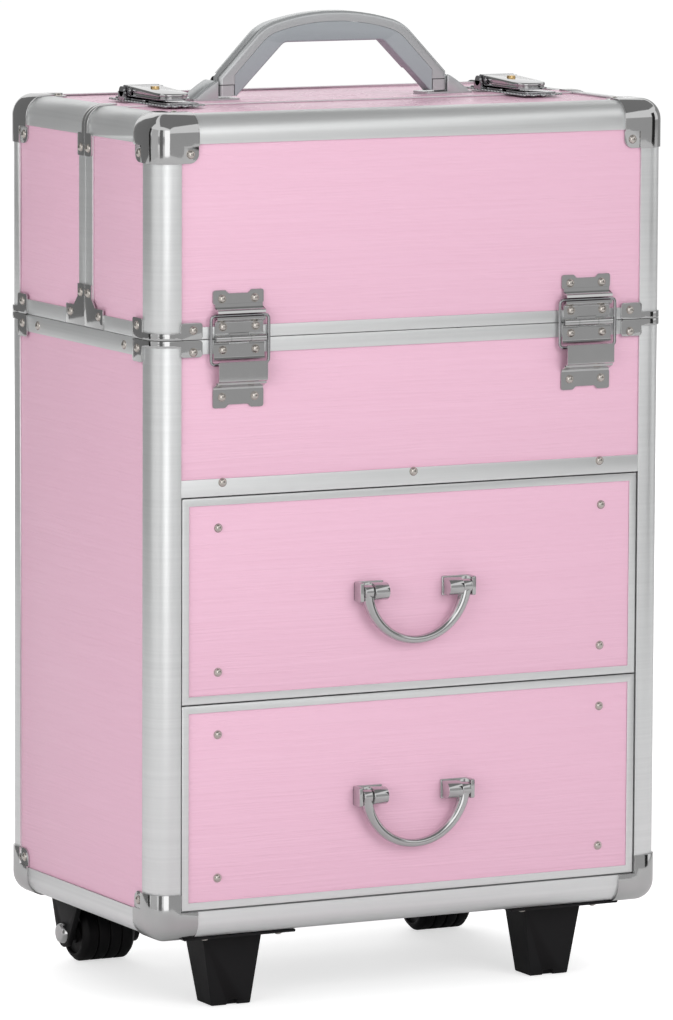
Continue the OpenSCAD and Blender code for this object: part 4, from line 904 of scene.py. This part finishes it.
def handle_block(bm, side, span, depths, heights):
    """A box in one leg, between two distances from the middle, two depths and two heights."""
    left, right = sorted((side * span[0], side * span[1]))
    return block(bm, (left, HANDLE_Y + depths[0], TOP_Z + heights[0]),
                 (right, HANDLE_Y + depths[1], TOP_Z + heights[1]))


def roll_arch(bm, half, depth, width):
    """Rounds the edges at one depth that follow an edge of the arch, given by its right half."""
    near = [(round(x, 2), round(TOP_Z + z, 2)) for x, z in halves(half)]

    def follows(v):
        return (abs(v.co.y * 1000 - HANDLE_Y - depth) < 0.01
                and (round(v.co.x * 1000, 2), round(v.co.z * 1000, 2)) in near)

    bevel(bm, [e for e in bm.edges if follows(e.verts[0]) and follows(e.verts[1])], width, 5)


def rear_shell():
    """The glossy half behind the pivot, with its legs cut off over the barrels."""
    bm = bmesh.new()
    outer = cut_edge(0, REAR_FOOT)
    handle_slice(bm, band(outer, cut_edge(SHELL_T, REAR_FOOT)), 0, GRIP_REAR)
    roll_arch(bm, outer, GRIP_REAR, 5.8)
    finished(bm, "carry_handle", "handle_rear_shell", silver_paint, 50)


def front_shell():
    """The glossy halves in front of the pivot, split by a seam, with a block under their cross seam."""
    outer = leg_edge(0, BARREL_X, FOOT_SEAM + 0.3)
    arch = band(outer, leg_edge(SHELL_T, BARREL_X - 10, FOOT_SEAM + 0.3))
    bm = bmesh.new()
    handle_slice(bm, arch, -GRIP_HALF, SEAM_AT - SEAM_HALF)
    roll_arch(bm, outer, -GRIP_HALF, 2.2)
    handle_slice(bm, arch, SEAM_AT + SEAM_HALF, 0)
    for side in (-1, 1):
        part = handle_block(bm, side, (BARREL_X - 9.6, BARREL_X - 0.3), (-GRIP_HALF, 0),
                            (LEG_LOW, FOOT_SEAM - 0.2))
        upright = [e for e in {e for v in part for e in v.link_edges}
                   if abs(e.verts[0].co.z - e.verts[1].co.z) > mm(3)
                   and abs(e.verts[0].co.x) > mm(BARREL_X - 5)]
        bevel(bm, upright, 1.8, 5)
    finished(bm, "carry_handle", "handle_front_shell", silver_paint, 50)


def handle_core():
    """The dark core in the seams, with the barrels at the pivot and the blocks round them."""
    outer = leg_edge(CORE_IN, BARREL_X - CORE_IN, LEG_LOW + 0.3)
    bm = bmesh.new()
    handle_slice(bm, band(outer, leg_edge(5.5, BARREL_X - 9, LEG_LOW + 0.3)), SEAM_AT - 1.5, SEAM_AT + 1.5)
    for side in (-1, 1):
        handle_block(bm, side, (BARREL_X - 9, BARREL_X - 1), (-8.7, -0.3), (6, 12))
        rod(bm, (side * (IN_FOOT_X + 1), HANDLE_Y, TOP_Z + PIVOT_UP),
            (side * (BARREL_X - 0.5), HANDLE_Y, TOP_Z + PIVOT_UP), BARREL_R, 36)
        handle_block(bm, side, (BARREL_X - 9, BARREL_X - 4.5), (0, 4), (PIVOT_UP, REAR_FOOT + 0.2))
    finished(bm, "carry_handle", "handle_core", black_plastic)


def handle_grip():
    """The matte grip under the shells, rolled along its inner edges."""
    bm = bmesh.new()
    inner = inner_edge(LEG_LOW)
    handle_slice(bm, band(leg_edge(GRIP_FROM, BARREL_X - 10.2, LEG_LOW + 0.2), inner), -GRIP_HALF, 0)
    roll_arch(bm, inner, -GRIP_HALF, 6.0)
    inner = inner_edge(REAR_FOOT)
    handle_slice(bm, band(cut_edge(GRIP_FROM, REAR_FOOT), inner), 0, GRIP_REAR)
    roll_arch(bm, inner, GRIP_REAR, 6.4)
    finished(bm, "carry_handle", "handle_grip", soft_insert, 60)


rear_shell()
front_shell()
handle_core()
handle_grip()

# %% [markdown]
# A foot is a low fin beside the handle's leg, cut through by one groove near its front, on a thin plate.
# A dark body shows in the groove, and a pin reaches from the plate's side into the barrel.

# %% Feet of the handle
FIN_X, FIN_LEN, FIN_H, FIN_CURVE, FIN_STEPS = BARREL_X + 0.8, 17.2, 12.0, 1.25, 10
FIN_SLICES = ((-9.5, -7.7), (-5.6, 9.5))
BODY_HALF, BODY_LOW = 8.0, 0.4
PLATE_IN, PLATE_OUT, PLATE_HALF = 65.0, 97.5, 10.0


def handle_feet():
    """Two fins that fall away outwards, their plates and pins, and the dark bodies in their grooves."""
    bm = bmesh.new()
    fin = [(FIN_X, TOP_Z)]
    for k in range(FIN_STEPS + 1):
        fin.append((FIN_X + FIN_LEN * k / FIN_STEPS, TOP_Z + FIN_H * (1 - (k / FIN_STEPS) ** FIN_CURVE)))
    for front, rear in FIN_SLICES:
        bar(bm, fin, "y", HANDLE_Y + front, HANDLE_Y + rear)
    soften(bm, 0.9, angle=50, segments=3)
    front, rear = HANDLE_Y - PLATE_HALF, HANDLE_Y + PLATE_HALF
    plate = rounded([(PLATE_IN, front), (PLATE_OUT, front), (PLATE_OUT, rear), (PLATE_IN, rear)], 2)
    bar(bm, plate, "z", TOP_Z - 1.2, TOP_Z + 1)
    rod(bm, (70, HANDLE_Y, TOP_Z + PIVOT_UP), (80, HANDLE_Y, TOP_Z + PIVOT_UP), 2.4)
    painted = len(bm.faces)
    low = TOP_Z + BODY_LOW
    body = [(FIN_X + 0.5, low)] + [(x - 0.6, max(z - 0.8, low)) for x, z in fin[2:-1]]
    bar(bm, body, "y", HANDLE_Y - BODY_HALF, HANDLE_Y + BODY_HALF)
    paint_new(bm, painted, 1)
    both_sides(bm)
    finished(bm, "handle_mounts", "handle_feet", [silver_paint, black_plastic], 45)


handle_feet()

# %% [markdown]
# ## Latches
#
# A latch is a lever with a straight rear and a round nose, over a stack of thin plates with scalloped
# edges. A groove runs round the lever between its cap and its lower rim, and a brass lock sits in the cap.
# Positions are counted back from the lid's split and heights from the lid's top.

# %% Latch levers
LATCH_X, LATCH_REAR, LATCH_NOSE, NOSE_R = 124.0, 31.0, -22.5, 11.0
LATCH_PIVOT_Y, LATCH_PIVOT_Z, LATCH_BARREL_R = 28.0, 6.0, 3.9
# half width, nose, rear, lower and upper height of each layer
CAP = (10.6, LATCH_NOSE, LATCH_REAR - 1, 5.0, 12.0)
NECK = (10.1, LATCH_NOSE + 0.5, LATCH_REAR - 2, 3.4, 5.4)
RIM = (11.3, LATCH_NOSE - 1.5, LATCH_REAR - 3, 3.2, 4.4)
CAP_REAR_TOP, CAP_FALL = 10.0, 2.9
RIB_HALF, RIB_T, RIB_HEIGHTS = 11.0, 0.9, (5.6, 7.2)
LOCK_Y, LOCK_LOW, LOCK_H = 9.0, 7.7, 2.3


def at_latch(points, side):
    """A plan that is drawn round a latch's middle, moved to its place on the lid."""
    return [(side * LATCH_X + u, SPLIT_Y + v) for u, v in points]


def stud(bm, side, u, v, low, height, radii, sides):
    """A short upright cone on a latch."""
    at = Vector((side * LATCH_X + u, SPLIT_Y + v, TOP_Z + low))
    rod(bm, at, at + Vector((0, 0, height)), radii, sides)


def lever_layer(bm, side, half, nose, rear, low, high):
    """A layer of the lever, square at the rear and round in front."""
    plan = rounded([(-half, rear), (-half, nose), (half, nose), (half, rear)], NOSE_R, False, 9)
    bar(bm, at_latch(plan[::-1], side), "z", TOP_Z + low, TOP_Z + high)


def slope_top(bm):
    """Cuts a cap off on a plane that falls towards its nose."""
    rear = Vector((0, SPLIT_Y + LATCH_REAR, TOP_Z + CAP_REAR_TOP))
    slope = Vector((0, LATCH_NOSE - LATCH_REAR, -CAP_FALL))
    cut = bmesh.ops.bisect_plane(bm, geom=bm.verts[:] + bm.edges[:] + bm.faces[:], plane_co=rear / 1000,
                                 clear_outer=True,
                                 plane_no=Vector((1, 0, 0)).cross(slope).normalized() * -1)["geom_cut"]
    bmesh.ops.holes_fill(bm, edges=[e for e in cut if isinstance(e, bmesh.types.BMEdge)], sides=0)


def lever_cap(side):
    """The lever's polished cap with the neck under it."""
    bm = bmesh.new()
    lever_layer(bm, side, *CAP)
    slope_top(bm)
    soften(bm, 0.9, angle=50, segments=3)
    lever_layer(bm, side, *NECK)
    return bm


def lever_rim(side):
    """The lever's lower rim, with two ribs across its rear and the barrel on its pin."""
    bm = bmesh.new()
    lever_layer(bm, side, *RIM)
    soften(bm, 0.5, angle=50)
    rib = rounded([(-RIB_HALF, 0), (RIB_HALF, 0), (RIB_HALF, 1.2), (-RIB_HALF, 1.2)], 0.5)
    rib = at_latch([(u, LATCH_REAR - 8 + v) for u, v in rib], side)
    for z in RIB_HEIGHTS:
        bar(bm, rib, "z", TOP_Z + z, TOP_Z + z + RIB_T)
    x, y, z = side * LATCH_X, SPLIT_Y + LATCH_PIVOT_Y, TOP_Z + LATCH_PIVOT_Z
    rod(bm, (x - 11.4, y, z), (x + 11.4, y, z), LATCH_BARREL_R, sides=32)
    return bm


def latch_lever(side, node, name):
    """A lever of three finishes: the cap, the rim and the brass lock."""
    bm = bmesh.new()
    for part, finish in ((lever_cap(side), 0), (lever_rim(side), 2)):
        for face in part.faces:
            face.material_index = finish
        mesh = as_mesh(part, "part")
        bm.from_mesh(mesh)
        bpy.data.meshes.remove(mesh)
    metal = len(bm.faces)
    stud(bm, side, 0, LOCK_Y, LOCK_LOW, LOCK_H, (3.0, 2.6), 28)
    paint_new(bm, metal, 1)
    finished(bm, node, name, [chrome, brass, wire_steel])


latch_lever(-1, "left_latch_lever", "left_latch")
latch_lever(1, "right_latch_lever", "right_latch")

# %% Latch plates
LOWER_HALF, LOWER_T, UPPER_HALF, UPPER_LOW, UPPER_HIGH = 13.0, 1.0, 10.8, 0.9, 2.1
SCALLOP_STEP, SCALLOP_X, SCALLOP_H = 4.4, 12.4, 1.2
CHEEK_X, CHEEK_HALF, CHEEK_LONG = 13.2, 0.7, 4.5


def latch_plates(start, end):
    """Two thin plates a latch, the lower one with scalloped edges."""
    bm = bmesh.new()
    count = round((end - start) / SCALLOP_STEP)
    lower = rounded([(-LOWER_HALF, start), (LOWER_HALF, start), (LOWER_HALF, end), (-LOWER_HALF, end)], 2)
    near, far = start + 2.4, end - 2.4
    upper = rounded([(-UPPER_HALF, near), (UPPER_HALF, near), (UPPER_HALF, far), (-UPPER_HALF, far)], 2)
    tip = start + 0.2 if start < 0 else end - 0.2
    for side in (-1, 1):
        bar(bm, at_latch(lower, side), "z", TOP_Z, TOP_Z + LOWER_T)
        for k in range(count + 1):
            v = start + 1.6 + (end - start - 3.2) * k / count
            for u in (-SCALLOP_X, SCALLOP_X):
                stud(bm, side, u, v, 0, SCALLOP_H, (1.9, 1.6), 16)
        bar(bm, at_latch(upper, side), "z", TOP_Z + UPPER_LOW, TOP_Z + UPPER_HIGH)
        for u in (-7, 0, 7):
            stud(bm, side, u, tip, 0, 1.3, (2.6, 2.2), 20)
    soften(bm, 0.2, angle=50)
    return bm


def latch_cheeks(bm):
    """The upright cheeks that hold the levers' pins."""
    along = Vector((CHEEK_HALF, 0, 0))
    for side in (-1, 1):
        for u in (-CHEEK_X, CHEEK_X):
            at = Vector((side * LATCH_X + u, SPLIT_Y + LATCH_PIVOT_Y, TOP_Z + LATCH_PIVOT_Z))
            rod(bm, at - along, at + along, 3.2, sides=28)
            block(bm, (at.x - CHEEK_HALF, at.y - CHEEK_LONG, TOP_Z + 0.5),
                  (at.x + CHEEK_HALF, at.y + CHEEK_LONG, at.z))


finished(latch_plates(-33, -0.9), "latch_keepers", "latch_strike_plates", wire_steel)
bm = latch_plates(0.9, 46)
latch_cheeks(bm)
finished(bm, "latch_bases", "latch_back_plates", wire_steel)

# %% [markdown]
# ## Front feet
#
# The moulded feet keep the solid's form, a little wider towards the case's sides, with hardly rounded
# edges and flat shading.

# %% Front feet
FOOT_X, FOOT_WIDER = 110.0, 1.17
bm = from_solid("front_feet", 0.5, segments=1)
for v in bm.verts:
    past = abs(v.co.x) - mm(FOOT_X)
    if past > 0:
        v.co.x = math.copysign(mm(FOOT_X) + past * FOOT_WIDER, v.co.x)
finished(bm, "front_feet", "feet", black_plastic, smooth=15)
